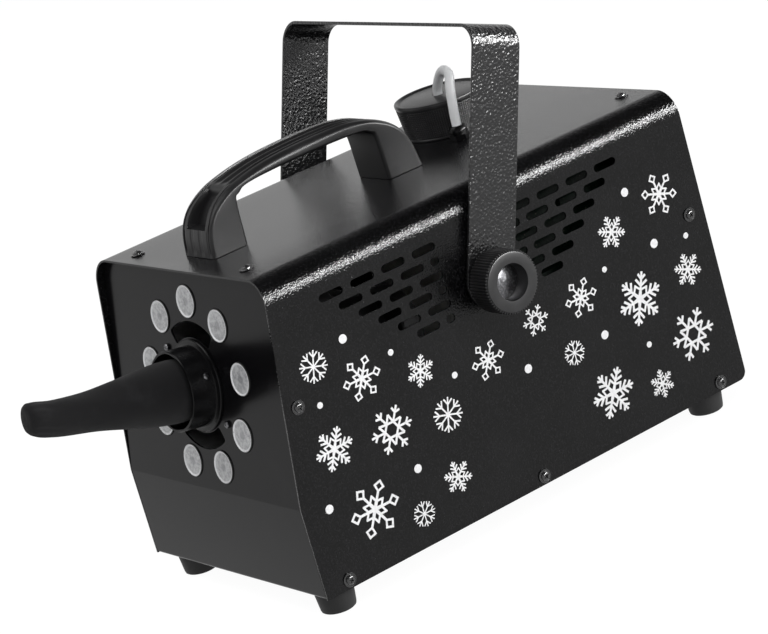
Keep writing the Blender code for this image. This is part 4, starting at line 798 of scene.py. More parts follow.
fitted("mains_inlet", "machine", "power_inlet", ((0.031, 0.043), (0, INLET_Z), GAP, FACE_T, 0.003, 0.0005),
       [((0.0275, 0.038), (0, INLET_Z), FACE_T - 0.024, GAP * 2, 0.001)],
       [((0.024, 0.0165), (0, SOCKET_Y), SOCKET_FLOOR, FACE_T + THROUGH, 0.0030),
        ((0.0221, 0.0091), (0, DRAWER_Y), -0.0157, FACE_T + THROUGH, 0.0004)])
pins = [slab((0.002, 0.004), (x, SOCKET_Y + y), SOCKET_FLOOR - 0.002, SOCKET_FLOOR + 0.011, 0.0003, 0.0005)
        for x, y in ((-0.007, -0.002), (0, 0.002), (0.007, -0.002))]
settle("inlet_pins", together(*(solid(pin, fitting) for pin in pins)), ZINC, "machine")
fitted("fuse_drawer_piece", "drawer", "fuse_drawer",
       ((0.0215, 0.0085), (0, DRAWER_Y), -0.0154, FACE_T + 0.0010, 0.0004, 0.0003),
       cut=[((0.008, 0.0016), (0, INLET_Z + 0.0150), FACE_T + 0.0002, FACE_T + THROUGH, 0.0004)])
fitted("switch_surround", "machine", "switch_frame",
       ((0.015, 0.021), (0, SWITCH_Z), GAP, FACE_T, 0.0015, 0.0006),
       [((0.013, 0.019), (0, SWITCH_Z), FACE_T - 0.016, GAP * 2, 0.0005)],
       [((0.0106, 0.0164), (0, SWITCH_Z), -0.0110, FACE_T + THROUGH, 0.0003)])

ROCKER_HALF, ROCKER_WIDE, ROCKER_TILT = 0.0076, 0.0094, math.radians(12)
crest = ROCKER_HALF * math.sin(ROCKER_TILT) + 0.0011
side_view = [(-ROCKER_HALF, -0.0030), (ROCKER_HALF, -0.0030)]
side_view += [(ROCKER_HALF * k / 8, crest - (1 - (k / 8) ** 2) * 0.0014 - 0.0002 * (abs(k) == 8))
              for k in range(8, -9, -1)]
tip_over = fitting @ shift(0, SWITCH_Z, FACE_T - 0.0008) @ spin(ROCKER_TILT, "X")
settle("rocker_key", solid(prism(side_view, -ROCKER_WIDE / 2, ROCKER_WIDE / 2, "x"), tip_over), MOULDED,
       "rocker", ["power_rocker"])
WHITE_PRINT = toned("white_print", (0.76, 0.76, 0.77), (0.86, 0.86, 0.865), (0.0014, 4.0, 0.65, 0.35, 0.60),
                    None, (0.42, 0.15, 0.0), 0.00001)
on_mark = prism(rectangle((0.0032, 0.0005), (0, 0.00445)), 0.0018, 0.00205)
off_mark = turned([(0.0011, 0.0018), (0.0016, 0.0018), (0.0016, 0.00205), (0.0011, 0.00205)], 20, ring=True)
settle("rocker_marks", together(solid(on_mark, tip_over), solid(off_mark, tip_over @ shift(0, -0.0045, 0))),
       WHITE_PRINT, "rocker")

LEVEL_R, LEVEL_H, LEVEL_RIBS, LEVEL_BORE_END = 0.0090, 0.0140, 24, 0.0125
dial = fitting @ shift(0, LEVEL_Z, 0)
grip = [(0.0033, 0.0026), (LEVEL_R - 0.0004, 0.0026), (LEVEL_R, 0.0030), (LEVEL_R, 0.0044),
        (LEVEL_R - 0.0010, 0.0050), (LEVEL_R - 0.0018, LEVEL_H - 0.0006), (LEVEL_R - 0.0024, LEVEL_H),
        (0, LEVEL_H), (0, LEVEL_BORE_END)]
rib = prism([(LEVEL_R - 0.0022, -0.0005), (LEVEL_R - 0.0009, -0.0004), (LEVEL_R - 0.0009, 0.0004),
             (LEVEL_R - 0.0022, 0.0005)], 0.0044, LEVEL_H - 0.0012)
settle("output_knob", together(solid(turned(grip, 48), dial), ring_of(rib, LEVEL_RIBS, MOULDED, dial)),
       MOULDED, "level", ["level_knob"])
pointer = prism(rectangle((0.0010, 0.0046), (0, 0.0039)), LEVEL_H - 0.0004, LEVEL_H + 0.0001)
settle("output_pointer", solid(pointer, dial), WHITE_PRINT, "level")
SCALE_MARKS, SCALE_HALF, MARK = 11, math.radians(135), rectangle((0.0006, 0.0024), (0, 0.0118))
mark_turns = [SCALE_HALF - 2 * SCALE_HALF * number / (SCALE_MARKS - 1) for number in range(SCALE_MARKS)]
settle("output_scale", together(*(solid(prism(MARK, 0.0, 0.00008), dial @ spin(turn, "Z"))
                                  for turn in mark_turns)), WHITE_PRINT, "machine")


# Cover
# One 1.2 mm steel sheet, bent over the top and down both sides, punched with slots on each side, and coated
# with a fine grained black powder. Its front edges slope back, and two threaded inserts carry the yoke.

SLOT_L, SLOT_W, SLOT_PITCH, SLOT_ROW, SLOT_TOP = 0.0168, 0.0048, 0.0223, 0.00885, 0.1636
SLOT_INNER, SLOT_COUNTS = 0.0358, (4, 3, 3, 2, 2, 1)
SHORT_L, SHORT_Y = 0.0065, 0.0305
PIVOT_Y, PIVOT_Z = 0.1610, 0.1318
COVER_LEAN, CORNER_R, PAST = 0.018, 0.0055, 0.02
CAP_X, CAP_Y, CAP_HOLE_R = -0.0336, 0.2487, 0.0211
GLAND_Y, GLAND_HOLE_R = 0.2335, 0.0045
INSERT_R, INSERT_L, STUD_BORE = 0.0080, 0.008, 0.0043


def strewn_tree():
    """A shape set down at each point, turned by its "turn" and sized by its "size"."""
    grown, (marks, shape, finish) = tree_of("strewn_at_marks", Shape="Object")
    turn, size = (grown.node("GeometryNodeInputNamedAttribute", {"data_type": kind}, {"Name": name})
                  for name, kind in (("turn", "FLOAT_VECTOR"), ("size", "FLOAT")))
    return planted(grown, finish, turn, Points=grown.node("GeometryNodeMeshToPoints", {}, {"Mesh": marks}),
                   Instance=grown.node("GeometryNodeObjectInfo", {}, {"Object": shape}, "Geometry"),
                   Scale=size)


STREWN = strewn_tree()


def strewn(mesh, marks, finish):
    """The mesh of a shape set down at marks of (place, turn, size), in the machine's frame."""
    shape = put("shape", mesh)
    points = bpy.data.meshes.new("marks")
    points.from_pydata([spot(*place) for place, _, _ in marks], [], [])
    turns = points.attributes.new("turn", "FLOAT_VECTOR", "POINT")
    turns.data.foreach_set("vector", [angle for _, turn, _ in marks for angle in turn])
    sizes = points.attributes.new("size", "FLOAT", "POINT")
    sizes.data.foreach_set("value", [size for _, _, size in marks])
    return worked(grow(put("marks", points), STREWN, Shape=shape, Finish=finish), shape)


marks = {SLOT_L: [], SHORT_L: []}
for row, count in enumerate(SLOT_COUNTS):
    slots = [(SLOT_L, SLOT_INNER + (number + row % 2 / 2) * SLOT_PITCH) for number in range(count)]
    for length, away in slots + [(SHORT_L, SHORT_Y)] * (row % 2):
        for side, forward in SQUARE:
            place = (side * BODY_W / 2, PIVOT_Y - forward * away, SLOT_TOP - row * SLOT_ROW)
            marks[length].append((place, (math.pi / 2, 0, math.pi / 2), 1.0))
tools = []
for length, marked in marks.items():
    round_end = arc(SLOT_W / 2, -math.pi / 2, math.pi / 2, 10, ((length - SLOT_W) / 2, 0))
    slot = solid(prism(round_end + [(-x, -y) for x, y in round_end], -THROUGH, THROUGH))
    tools.append(put("slots", strewn(slot, marked, SMOOTH_COAT)))
    tools[-1].data.materials.clear()

cover = folded(rounded_path([(-BODY_W / 2, 0), (-BODY_W / 2, BODY_H), (BODY_W / 2, BODY_H), (BODY_W / 2, 0)],
                            BEND_R, 28), "y", 0, BODY_L, SHEET)
insert = [(0, -INSERT_L), (INSERT_R - 0.0004, -INSERT_L), (INSERT_R, -INSERT_L + 0.0004), (INSERT_R, -MID),
          (0, -MID)]
inserts = [put("insert", solid(turned(insert, 40), at(side * BODY_W / 2, PIVOT_Y, PIVOT_Z)
                               @ spin(side * math.pi / 2, "Y"))) for side in (1, -1)]
carve(cover, *inserts, operation="UNION")
slope = COVER_LEAN / (BODY_H - FOLD_Z)
front_edge = [(-PAST, FOLD_Z), (0, FOLD_Z), ((PAST + BODY_H - FOLD_Z) * slope, BODY_H + PAST),
              (-PAST, BODY_H + PAST)]
rear_foot = [(BODY_L + THROUGH, -THROUGH), (BODY_L + THROUGH, CORNER_R),
             *arc(CORNER_R, 0, -math.pi / 2, 8, (BODY_L - CORNER_R, CORNER_R)),
             (BODY_L - CORNER_R, -THROUGH)]
tools += [block(outline, -BODY_W, BODY_W, "x")
          for outline in (front_edge, rear_foot, circle(STUD_BORE, 28, (PIVOT_Y, PIVOT_Z)))]
tools += screw_holes(20, THROUGH)
tools += [block(circle(radius, steps, where), BODY_H - THROUGH, BODY_H + THROUGH)
          for radius, steps, where in ((CAP_HOLE_R, 64, (CAP_X, CAP_Y)), (GLAND_HOLE_R, 28, (0, GLAND_Y)))]
carve(cover, *tools)
soften(cover, 0.00050)

powder = Finish("textured_powder_coat")
beads = powder.noise(0.00100, 1.0, 0.5)
ripple = powder.noise(0.0030, 1.0, 0.5)
top_face = powder.axis(2).between(case_foot.z + BODY_H - 0.0022, case_foot.z + BODY_H - 0.0004)
calm = top_face * (1 - powder.axis(0).between(-0.045, 0.035) * 0.75)
speck = powder.noise(0.0011, 3.0, 0.7).between(0.46, 0.72)
# Painted sheen: the top face gets a paler, flecked colour, strongest towards its right side and weaker where
# the top is calm. It stands in for the bright room that the top mirrors.
sheen_flecks = powder.noise(0.0015, 1.0, 0.5).between(0.46, 0.60)
haze = powder.noise(0.045, 3.0, 0.6).between(0.40, 0.75)
tint = powder.blend((0.0008, 0.0008, 0.0009), (0.0110, 0.0108, 0.0117), speck)
tint = powder.blend(tint, (0.0110, 0.0108, 0.0118), haze * 0.25)
painted_top_sheen = powder.blend((0.0040, 0.0039, 0.0043), (0.0170, 0.0167, 0.0177), sheen_flecks)
tint = powder.blend(tint, painted_top_sheen, top_face * (1 - calm * 0.8))
POWDER = powder.close(tint, 0.12 + beads * 0.06 + top_face * 0.06,
                      (beads + ripple * 0.20) * (1 - calm * 0.85), 0.00026, Specular_IOR_Level=0.21)
settle("cover_sheet", worked(cover, *inserts, *tools), POWDER, "machine", ["cover"], sharp=18)


# Print
# Screen-printed white snow crystals in four patterns, with round dots between them, on both sides of the
# cover.

INK, INK_IN_RADII, PEN = 0.00008, 0.007, 0.095
ARM_GAP = math.pi / 6


def stroke(start, end, pen=PEN):
    """One straight ink stroke, of a crystal one unit in radius."""
    start, end = Vector(start), Vector(end)
    side = (end - start).orthogonal().normalized() * pen / 2
    return [start + side, start - side, end - side, end + side]


def rhombus(near, far, wide, middle):
    """The strokes of a narrow four-sided outline that points outwards, each run on to cover its corners."""
    run = [Vector(point) for point in ((near, 0), (middle, wide), (far, 0), (middle, -wide))]
    made = []
    for a, b in zip(run, run[1:] + run[:1]):
        along = (b - a).normalized() * PEN * 0.85 * 0.45
        made.append(stroke(a - along, b + along, PEN * 0.85))
    return made


def fork(root, tip, spread):
    """Two side branches from a point of the arm, which leave it at both sides."""
    return [stroke((root, 0), (tip, sign * spread)) for sign in (1, -1)]


def half_way(strokes):
    """The strokes moved to the gap between two arms."""
    return [[Matrix.Rotation(ARM_GAP, 2) @ point for point in outline] for outline in strokes]


def crystal(arms, strokes):
    """One printed crystal: the strokes of one arm, copied round its middle."""
    pens = [prism(outline, 0.0, INK_IN_RADII) for outline in strokes]
    arm = bmesh.new()
    arm.from_mesh(together(*(solid(pen) for pen in pens)))
    star = put("star", ring_of(arm, arms, WHITE_PRINT))
    star.data.materials.clear()
    first = block(strokes[0], 0.0, INK_IN_RADII, place=Matrix())
    change(star, "BOOLEAN", object=first, operation="UNION", solver="EXACT", use_self=True)
    whole = bmesh.new()
    whole.from_mesh(worked(star, first))
    return solid(whole)


STAR_IN, STAR_OUT = 0.33, 0.64
dip, peak, next_dip = ((reach * math.cos(turn), reach * math.sin(turn))
                       for reach, turn in ((STAR_IN, 0), (STAR_OUT, ARM_GAP), (STAR_IN, 2 * ARM_GAP)))
CRYSTALS = {
    "A": (8, [stroke((0, 0), (1, 0)), *fork(0.58, 0.89, 0.28)]),
    "B": (6, [stroke((0, 0), (0.64, 0)), *rhombus(0.64, 1.0, 0.18, 0.82),
              *half_way(rhombus(0.05, 0.48, 0.13, 0.27))]),
    "C": (6, [stroke((0, 0), (1, 0)), *fork(0.48, 0.70, 0.26), *fork(0.73, 0.90, 0.17),
              *half_way(rhombus(0.08, 0.52, 0.16, 0.30))]),
    "D": (6, [stroke((STAR_IN, 0), (1, 0)), *fork(0.71, 0.86, 0.20), stroke(dip, peak),
              stroke(peak, next_dip), stroke(dip, next_dip)])}
# Each crystal's pattern, its place back and up on the side, its radius (all in millimetres) and its turn in
# degrees. The dots have no turn.
PRINTED = """A 34.2 129.5 9.5 -16, B 62.2 110.7 12.8 0, C 101.0 99.0 9.6 11, B 147.3 86.3 11.6 0,
C 32.0 80.0 13.0 3, D 71.7 74.8 14.4 0, A 110.8 67.3 10.4 -16, B 46.3 36.2 16.5 0, C 105.8 30.3 10.0 -21,
A 77.0 19.5 7.8 0, C 256.0 123.7 10.3 -21, B 297.0 132.2 13.0 -18, D 186.8 95.2 9.5 0, B 222.3 95.2 11.7 0,
C 263.7 77.7 16.4 8, C 303.8 80.7 10.5 -22, A 207.5 65.8 7.7 0, D 295.5 41.7 16.4 0, C 227.0 31.7 15.7 0,
C 263.7 22.3 9.1 30"""
DOTS = [(57.5, 136.8, 2.7), (85.3, 117.0, 1.9), (31.2, 107.2, 1.9), (122.5, 87.3, 2.0), (17.8, 49.0, 2.7),
        (81.2, 46.3, 2.6), (272.7, 142.5, 2.7), (244.0, 104.5, 1.8), (284.2, 105.3, 2.8),
        (308.7, 100.8, 1.9), (172.8, 70.2, 2.7), (232.0, 67.3, 2.7), (261.7, 48.8, 1.9)]


def printed(mesh, places):
    """The mesh of a mark at its places on both sides. Its x runs back along the cover, its z stands out."""
    marked = []
    for y, z, radius, *turn in places:
        for side in (1, -1):
            facing = spin(side * math.pi / 2, "Z") @ spin(math.pi / 2, "X")
            turned_by = facing @ spin(side * math.radians(sum(turn)), "Z")
            marked.append(((side * (BODY_W / 2 - INK / 4), y / 1000, z / 1000), tuple(turned_by.to_euler()),
                           radius / 1000))
    return strewn(mesh, marked, WHITE_PRINT)


ink_parts = []
for kind, drawn in CRYSTALS.items():
    lines = [line.split() for line in PRINTED.split(",")]
    ink_parts.append(printed(crystal(*drawn), [map(float, place) for pattern, *place in lines
                                               if pattern == kind]))
ink_parts.append(printed(solid(prism(circle(1.0, 28), 0.0, INK_IN_RADII * 4)), DOTS))
settle("crystal_print", together(*ink_parts), WHITE_PRINT, "machine")


# Cover screws
# Fourteen black cross-recess screws with a washer face: five up each side and four in the top.

head = [(0, -0.0070), (0.0012, -0.0070), (0.0015, -0.0066), (0.0015, GAP), (0.0040, GAP), (0.0043, 0.00045),
        (0.0043, 0.0007), (0.0041, 0.00090), (0.0038, 0.00090), (0.0036, 0.00070), (0.0029, 0.00070),
        (0.0028, 0.00110), (0.0026, 0.0017), (0.0021, 0.0022), (0.0014, 0.0024), (0, 0.0024)]
RECESS_L, RECESS_W = 0.0032, 0.00068
BLACK_OXIDE = toned("black_oxide_screw", (0.010, 0.010, 0.0105), (0.032, 0.0315, 0.033),
                    (0.0016, 3.0, 0.6, 0.45, 0.70), None, (0.14, 0.14, 0.0), 0.00003, Specular_IOR_Level=0.7)
screw = put("screw", solid(turned(head, 32)))
recess = [block(rectangle(size), 0.0010, 0.003, place=Matrix())
          for size in ((RECESS_L, RECESS_W), (RECESS_W, RECESS_L))]
carve(screw, *recess)
screw_marks = [((side * BODY_W / 2, y, z),
                tuple((spin(side * math.pi / 2, "Y") @ spin(0.3 + 0.85 * index, "Z")).to_euler()), 1.0)
               for index, (y, z) in enumerate(SIDE_SCREWS) for side in (1, -1)]
screw_marks += [((x, y, BODY_H), (0, 0, 0.4 + 40 * x), 1.0) for x, y in TOP_SCREWS]
screw_names = [f"side_screw_{side}_{where}" for side in ("right", "left")
               for where in ("front_mid", "front_low", "middle_low", "rear_low", "rear_mid")]
screw_names += [f"top_screw_{side}_{row}" for side in ("right", "left") for row in ("front", "rear")]
settle("cover_screws", strewn(worked(screw, *recess), screw_marks, BLACK_OXIDE), BLACK_OXIDE, "machine",
       screw_names)


# Handle
# A one-piece moulded grip, screwed to the top from inside. Three ribs run over it lengthways, and each leg
# has a deep moulded pocket in its outer face.

HANDLE_Y, HANDLE_L, HANDLE_W, HANDLE_LEG, HANDLE_EDGE = 0.0367, 0.154, 0.033, 0.0248, 0.0022
INNER_END = HANDLE_L - HANDLE_LEG
over_curve = [(0, 0), (0.0018, 0.0125), (0.0062, 0.0215), (0.0136, 0.0289), (0.0263, 0.0351),
              (0.048, 0.0399), (0.073, 0.0419), (HANDLE_L - 0.052, 0.0420), (HANDLE_L - 0.036, 0.0405),
              (HANDLE_L - 0.0215, 0.0366), (HANDLE_L - 0.0095, 0.0290), (HANDLE_L - 0.0024, 0.0172),
              (HANDLE_L + 0.0014, 0)]
under_curve = [(HANDLE_LEG, 0), (HANDLE_LEG + 0.0012, 0.0255), (HANDLE_LEG + 0.0045, 0.0300),
               (HANDLE_LEG + 0.014, 0.0333), (HANDLE_L / 2, 0.0345), (INNER_END - 0.014, 0.0337),
               (INNER_END - 0.0045, 0.0310), (INNER_END - 0.0012, 0.0265), (INNER_END, 0)]
STATIONS = 150
RIB_AT, RIB_HALF, GROOVE, RIBS_FROM = (-0.0090, 0.0, 0.0090), 0.0023, 0.0017, 0.0350
POCKET_X, POCKET_LOW, POCKET_HIGH, POCKET_DEEP = 0.0100, 0.0165, 0.0352, 0.0075
SHOULDER_W, SHOULDER_H = 0.0030, 0.0020


def paced(points, count):
    """Points at even distances along a smooth curve through the given ones."""
    fine = through([(0, y, z) for y, z in points], 40)
    walked = [0.0]
    for a, b in zip(fine, fine[1:]):
        walked.append(walked[-1] + (b - a).length)
    made, index = [], 0
    for step in range(count):
        goal = walked[-1] * step / (count - 1)
        while index < len(walked) - 2 and walked[index + 1] < goal:
            index += 1
        part_way = (goal - walked[index]) / max(walked[index + 1] - walked[index], 1e-12)
        made.append(fine[index].lerp(fine[index + 1], min(1.0, part_way)))
    return made


def ease(value, low, high):
    """0 to 1 between two values, with a soft start and end."""
    part_way = ramp(value, low, high)
    return part_way * part_way * (3 - 2 * part_way)


def sunk(x, z):
    """How deep the outer face lies under its outline: grooves between the grip's ribs, a leg's pocket."""
    beside = min(abs(x - rib_x) for rib_x in RIB_AT)
    wave = 0.5 - 0.5 * math.cos(math.tau * x / RIB_AT[2])
    groove = GROOVE * wave * (1 - ease(abs(x), 0.0118, 0.0138)) * ease(z, RIBS_FROM, RIBS_FROM + 0.0010)
    brow = GROOVE * 0.8 * ease(abs(x), 0.0128, 0.0133) * (1 - ease(abs(x), 0.0139, 0.0144))
    creases = 0.00035 * ease(beside, RIB_HALF, RIB_HALF + 0.0008)
    creases *= 1 - ease(z, POCKET_LOW - 0.002, POCKET_LOW)
    pocket = POCKET_DEEP * (1 - ease(abs(x), POCKET_X - 0.0008, POCKET_X))
    pocket *= ease(z, POCKET_LOW - 0.0004, POCKET_LOW + 0.0004)
    pocket *= 1 - ease(z, POCKET_HIGH - 0.006, POCKET_HIGH)
    return max(groove, brow * ease(z, 0.001, 0.004), creases * ease(z, 0.0008, 0.003), pocket)


half_w = HANDLE_W / 2
breaks = [rib_x + off for rib_x in RIB_AT
          for off in (-RIB_HALF - 0.0004, -RIB_HALF + 0.0004, 0, RIB_HALF - 0.0004, RIB_HALF + 0.0004)]
breaks += [sign * value for sign in (1, -1)
           for value in (0.0058, 0.0128, 0.0133, 0.0139, POCKET_X - 0.0008, POCKET_X)]
breaks += [0.0006 * step for step in range(-21, 22)]
face_w = half_w - HANDLE_EDGE + 0.0003
steps_in = sorted({round(value, 5) for value in breaks if abs(round(value, 5)) < face_w})
handle_rows = []
for out_at, in_at in zip(paced(over_curve, STATIONS), paced(under_curve, STATIONS)):
    thick = (out_at - in_at).length
    inward = (in_at - out_at) / thick
    edge = min(HANDLE_EDGE, thick * 0.3)
    rise = ease(out_at.z, 0.020, 0.036)
    wide, tall = edge + SHOULDER_W * rise, edge + SHOULDER_H * rise
    left = [(-(half_w - wide + wide * x), tall - tall * deep) for x, deep in arc(1, 0, math.pi / 2, 8)]
    right = [(-x, deep) for x, deep in reversed(left)]
    middle = [(x * (half_w - wide) / (half_w - HANDLE_EDGE), sunk(x, out_at.z)) for x in steps_in]
    low = arc(edge, 0, math.pi / 2, 8, (half_w - edge, thick - edge))
    row = left + middle + right + low + [(-x, deep) for x, deep in reversed(low)]
    handle_rows.append([out_at + inward * deep + Vector((x, 0, 0)) for x, deep in row])
GRIP = toned("moulded_handle_plastic", (0.008, 0.0078, 0.0083), (0.013, 0.0127, 0.0135),
             (0.014, 4.0, 0.6, 0.40, 0.80), (0.0004, 3.0, 0.6), (0.36, 0.06, 0.06), 0.00002,
             Specular_IOR_Level=0.27)
settle("carrying_handle", solid(tube_of(handle_rows), at(0, HANDLE_Y, BODY_H + GAP)), GRIP, "machine",
       ["handle"], sharp=28)


# Filler cap
# A ribbed screw cap, moulded in black plastic, on the tank's neck. The suction tube goes down through its
# middle.

CAP_R, CAP_H, CAP_LID, CAP_BORE, CAP_RIBS = 0.0270, 0.0235, 0.0035, 0.0033, 120
SKIRT_R, TOP_SPREAD, FOOT_PINCH = CAP_R - 0.00045, 1.065, 0.965
KNURLS, KNURL_DEEP, KNURL_FOOT = 28, 0.00030, 0.0012
cap_profile = [(CAP_BORE, CAP_H - CAP_LID), (CAP_BORE, CAP_H - 0.0012), (0.0040, CAP_H - 0.0007),
               (0.0215, CAP_H - 0.0007), (0.0232, CAP_H - 0.0011), (0.0240, CAP_H - 0.0012),
               (0.0246, CAP_H - 0.0006), (0.0252, CAP_H - 0.0001), (0.0258, CAP_H), (0.0265, CAP_H - 0.0003),
               (0.0269, CAP_H - 0.0010), (0.0270, CAP_H - 0.0020), (0.0269, CAP_H - 0.0030),
               (SKIRT_R, CAP_H - 0.0034), (SKIRT_R, 0.0016), (CAP_R, 0.0012), (CAP_R, GAP), (0.0208, GAP),
               (0.0208, CAP_H - CAP_LID)]


def tapered(radius, z):
    """The cap is a little wider at its top than at its foot."""
    return radius * (FOOT_PINCH + (TOP_SPREAD - FOOT_PINCH) * z / CAP_H) if radius > 0.021 else radius


knurl_step = (CAP_H - 0.0030 - KNURL_FOOT) / KNURLS
cap_rib_rows = []
for row in range(KNURLS + 1):
    z, crown = KNURL_FOOT + knurl_step * row, CAP_R - 0.0001 - KNURL_DEEP * (row % 2)
    cap_rib_rows.append([(tapered(radius, z), side, z) for radius, side in (
        (SKIRT_R - 0.0004, -0.00042), (crown, -0.00018), (crown, 0.00018), (SKIRT_R - 0.0004, 0.00042))])
CAP_PLASTIC = toned("cap_plastic", (0.020, 0.0196, 0.0206), (0.035, 0.0344, 0.0360),
                    (0.012, 4.0, 0.6, 0.45, 0.80), (0.00045, 3.0, 0.6), (0.27, 0.08, 0.06), 0.00003,
                    Specular_IOR_Level=0.19)
cap_place = at(CAP_X, CAP_Y, BODY_H)
cap_shell = turned([(tapered(radius, z), z) for radius, z in cap_profile], 120, ring=True)
settle("filler_cap", together(solid(cap_shell, cap_place),
                              ring_of(tube_of(cap_rib_rows), CAP_RIBS, CAP_PLASTIC, cap_place)), CAP_PLASTIC,
       "cap", ["tank_cap"])


# Suction tube and gland
# A translucent white silicone tube rises from the tank through the cap, arches over and goes back down
# through a glossy black gland to the pump. A second hose runs from the pump to the spray tip.

TUBE_R, TUBE_SIDES, HEX = 0.0030, 24, 6
PUMP_INLET = (0.027, 0.222, 0.0405)
route = [(CAP_X, CAP_Y, z) for z in (0.008, 0.060, 0.110, 0.160)]
route += [(CAP_X + x, CAP_Y + y, BODY_H + z) for x, y, z in (
    (0, 0, 0.010), (0, 0, 0.0240), (0.0056, -0.0010, 0.0320), (0.0136, -0.0030, 0.0380),
    (0.0219, -0.0056, 0.0408), (0.0297, -0.0085, 0.0390))]
route += [(x, GLAND_Y + y, BODY_H + z) for x, y, z in (
    (-0.0004, 0.0025, 0.0310), (0.0004, 0.0006, 0.0210), (0, 0, 0.0120), (0, 0, 0), (0, 0, -0.015),
    (0.0010, -0.001, -0.045), (0.010, -0.006, -0.080))]
route += [(PUMP_INLET[0] + x, PUMP_INLET[1] + y, PUMP_INLET[2] + z) for x, y, z in (
    (-0.004, -0.001, 0.0345), (0, 0, 0.015), (0, 0, GAP))]


def swept(points, radius, sides):
    """Rings of a round tube along a run of points."""
    rows, across = [], Vector((1, 0, 0))
    for index, point in enumerate(points):
        ahead = (points[min(index + 1, len(points) - 1)] - points[max(index - 1, 0)]).normalized()
        across = (across - ahead * across.dot(ahead)).normalized()
        beyond = ahead.cross(across)
        rows.append([point + across * x + beyond * y for x, y in circle(radius, sides)])
    return rows


SILICONE = toned("white_silicone_tubing", (0.84, 0.85, 0.865), (0.90, 0.91, 0.922), (0.006, 3.0, 0.6), None,
                 (0.42, 0.12, 0.0), 0.00006, Subsurface_Weight=0.7, Subsurface_Radius=(0.004,) * 3,
                 Specular_IOR_Level=0.3)
settle("silicone_tube", solid(tube_of(swept(through(route, 6), TUBE_R, TUBE_SIDES)), case), SILICONE,
       "machine", ["suction_tube"], sharp=80)
dress(SILICONE, "feed_hose")

gland_profile = [(0.0033, -0.0070), (0.0033, 0.0092), (0.0043, 0.0092), (0.0047, 0.0089), (0.0056, 0.0070),
                 (0.0058, 0.0064), (0.0058, 0.0050), (0.0053, 0.0047), (0.0053, 0.0034), (0.0042, 0.0034),
                 (0.0042, -0.0070)]
nut_profile = [(0.0034, GAP), (0.0034, 0.0036), (0.0058, 0.0036), (0.0062, 0.0032), (0.0062, GAP)]
gland_parts = (solid(turned(outline, steps, ring=True), at(0, GLAND_Y, BODY_H))
               for outline, steps in ((gland_profile, 40), (nut_profile, HEX)))
settle("tube_gland_piece", together(*gland_parts), GLOSS, "machine", ["tube_gland"])


# Yoke
# A flat steel bar bent over the machine, with round ends at its pivots and a square hole for hanging. Its
# coat is a coarse wrinkled black one. A rubber spacer ring stands between each end and the cover.

YOKE_X, YOKE_T, YOKE_W, YOKE_H, YOKE_BEND, YOKE_HOLE = 0.1006, 0.0020, 0.0333, 0.1467, 0.0135, 0.010
YOKE_TURN = math.radians(-20.2)
pivot = at(0, PIVOT_Y, PIVOT_Z)
on_yoke = pivot @ spin(YOKE_TURN, "X")
strap = folded(rounded_path([(-YOKE_X, -YOKE_W), (-YOKE_X, YOKE_H), (YOKE_X, YOKE_H), (YOKE_X, -YOKE_W)],
                            YOKE_BEND, 20), "y", -YOKE_W / 2, YOKE_W / 2, YOKE_T, on_yoke)
under_end = arc(YOKE_W / 2, 0, -math.pi, 36)
under_end += [(-YOKE_W, 0), (-YOKE_W, -YOKE_W * 2), (YOKE_W, -YOKE_W * 2), (YOKE_W, 0)]
yoke_tools = [block(outline, -YOKE_X * 1.2, YOKE_X * 1.2, "x", on_yoke)
              for outline in (under_end, circle(STUD_BORE, 28))]
yoke_tools.append(block(rectangle((YOKE_HOLE, YOKE_HOLE)), YOKE_H - THROUGH, YOKE_H + THROUGH,
                        place=on_yoke))
carve(strap, *yoke_tools)
soften(strap, 0.0004)

leather = Finish("wrinkled_black_coat")
creased = leather.node("ShaderNodeTexVoronoi", {"feature": "SMOOTH_F1"}, {
    "Vector": leather.places, "Scale": 560.0, "Smoothness": 0.5})
folds = leather.noise(0.0014, 1.0, 0.5)
WRINKLED = leather.close(leather.blend((0.004, 0.004, 0.0044), (0.011, 0.0108, 0.0116), folds),
                         0.20 + folds * 0.10, creased + folds * 0.45, 0.00037, Specular_IOR_Level=0.37)
settle("yoke_strap", worked(strap, *yoke_tools), WRINKLED, "yoke", ["yoke"], sharp=18)
dress(RUBBER, "pivot_spacer_right", "pivot_spacer_left")


# Clamp knobs
# Two toothed knobs of black plastic, moulded round steel studs, hold the yoke at its angle.

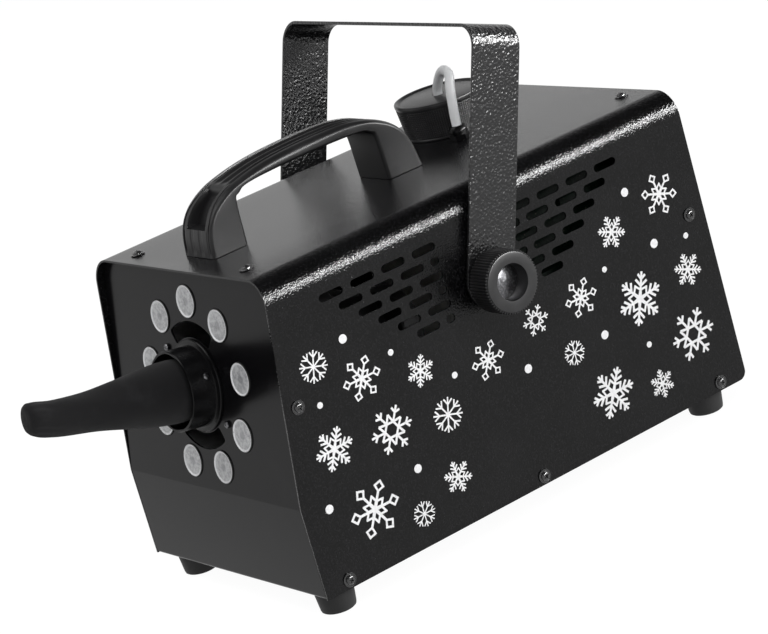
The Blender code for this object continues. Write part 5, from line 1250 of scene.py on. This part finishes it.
KNOB_AT, KNOB_TEETH, KNOB_ROOT, KNOB_TIP = 0.1006, 64, 0.0179, 0.0189
knob_profile = [(0, 0.0130), (0.0100, 0.0112), (0.0104, 0.0112), (0.0106, 0.0116), (0.0107, 0.0198),
                (0.0110, 0.0205), (0.0118, 0.0206), (0.0170, 0.0206), (0.0175, 0.0204), (0.0177, 0.0200),
                (0.0173, 0.0197), (0.0173, 0.0193), (KNOB_ROOT, 0.0190), (KNOB_ROOT, 0.0036),
                (0.0166, 0.0031), (0.0150, 0.0030), (0.0112, 0.0030), (0.0110, 0.0026), (0.0110, GAP),
                (0.0040, GAP), (0.0040, -0.0142), (0.0036, -0.0148), (0, -0.0148)]
stud_profile = [(0, 0.01315), (0.0004, 0.01312), (0.0098, 0.01145), (0.0100, 0.0113), (0, 0.0120)]
tooth = [(KNOB_ROOT - 0.0006, -0.00082), (KNOB_TIP - 0.00025, -0.00034), (KNOB_TIP, -0.00012),
         (KNOB_TIP, 0.00012), (KNOB_TIP - 0.00025, 0.00034), (KNOB_ROOT - 0.0006, 0.00082)]
low_tooth = [(x - 0.0003, y * 0.8) for x, y in tooth]
KNOB_PLASTIC = toned("knob_plastic", (0.009, 0.0088, 0.0094), (0.019, 0.0186, 0.0198),
                     (0.012, 3.0, 0.6, 0.40, 0.75), (0.0010, 4.0, 0.65), (0.28, 0.16, 0.0), 0.00004,
                     Specular_IOR_Level=0.38)
for side, name, body in ((1, "right", "clamp_right"), (-1, "left", "clamp_left")):
    stud = pivot @ spin(side * math.pi / 2, "Y") @ shift(0, 0, KNOB_AT)
    teeth = [ring_of(prism(outline, low, high), KNOB_TEETH, KNOB_PLASTIC, stud)
             for outline, low, high in ((tooth, 0.0042, 0.0194), (low_tooth, 0.0036, 0.0198))]
    settle(f"clamp_knob_{name}_piece", together(solid(turned(knob_profile, 96), stud), *teeth), KNOB_PLASTIC,
           body, [f"clamp_knob_{name}"])
    settle(f"stud_end_{name}", solid(turned(stud_profile, 64), stud), SCREW_STEEL, body)
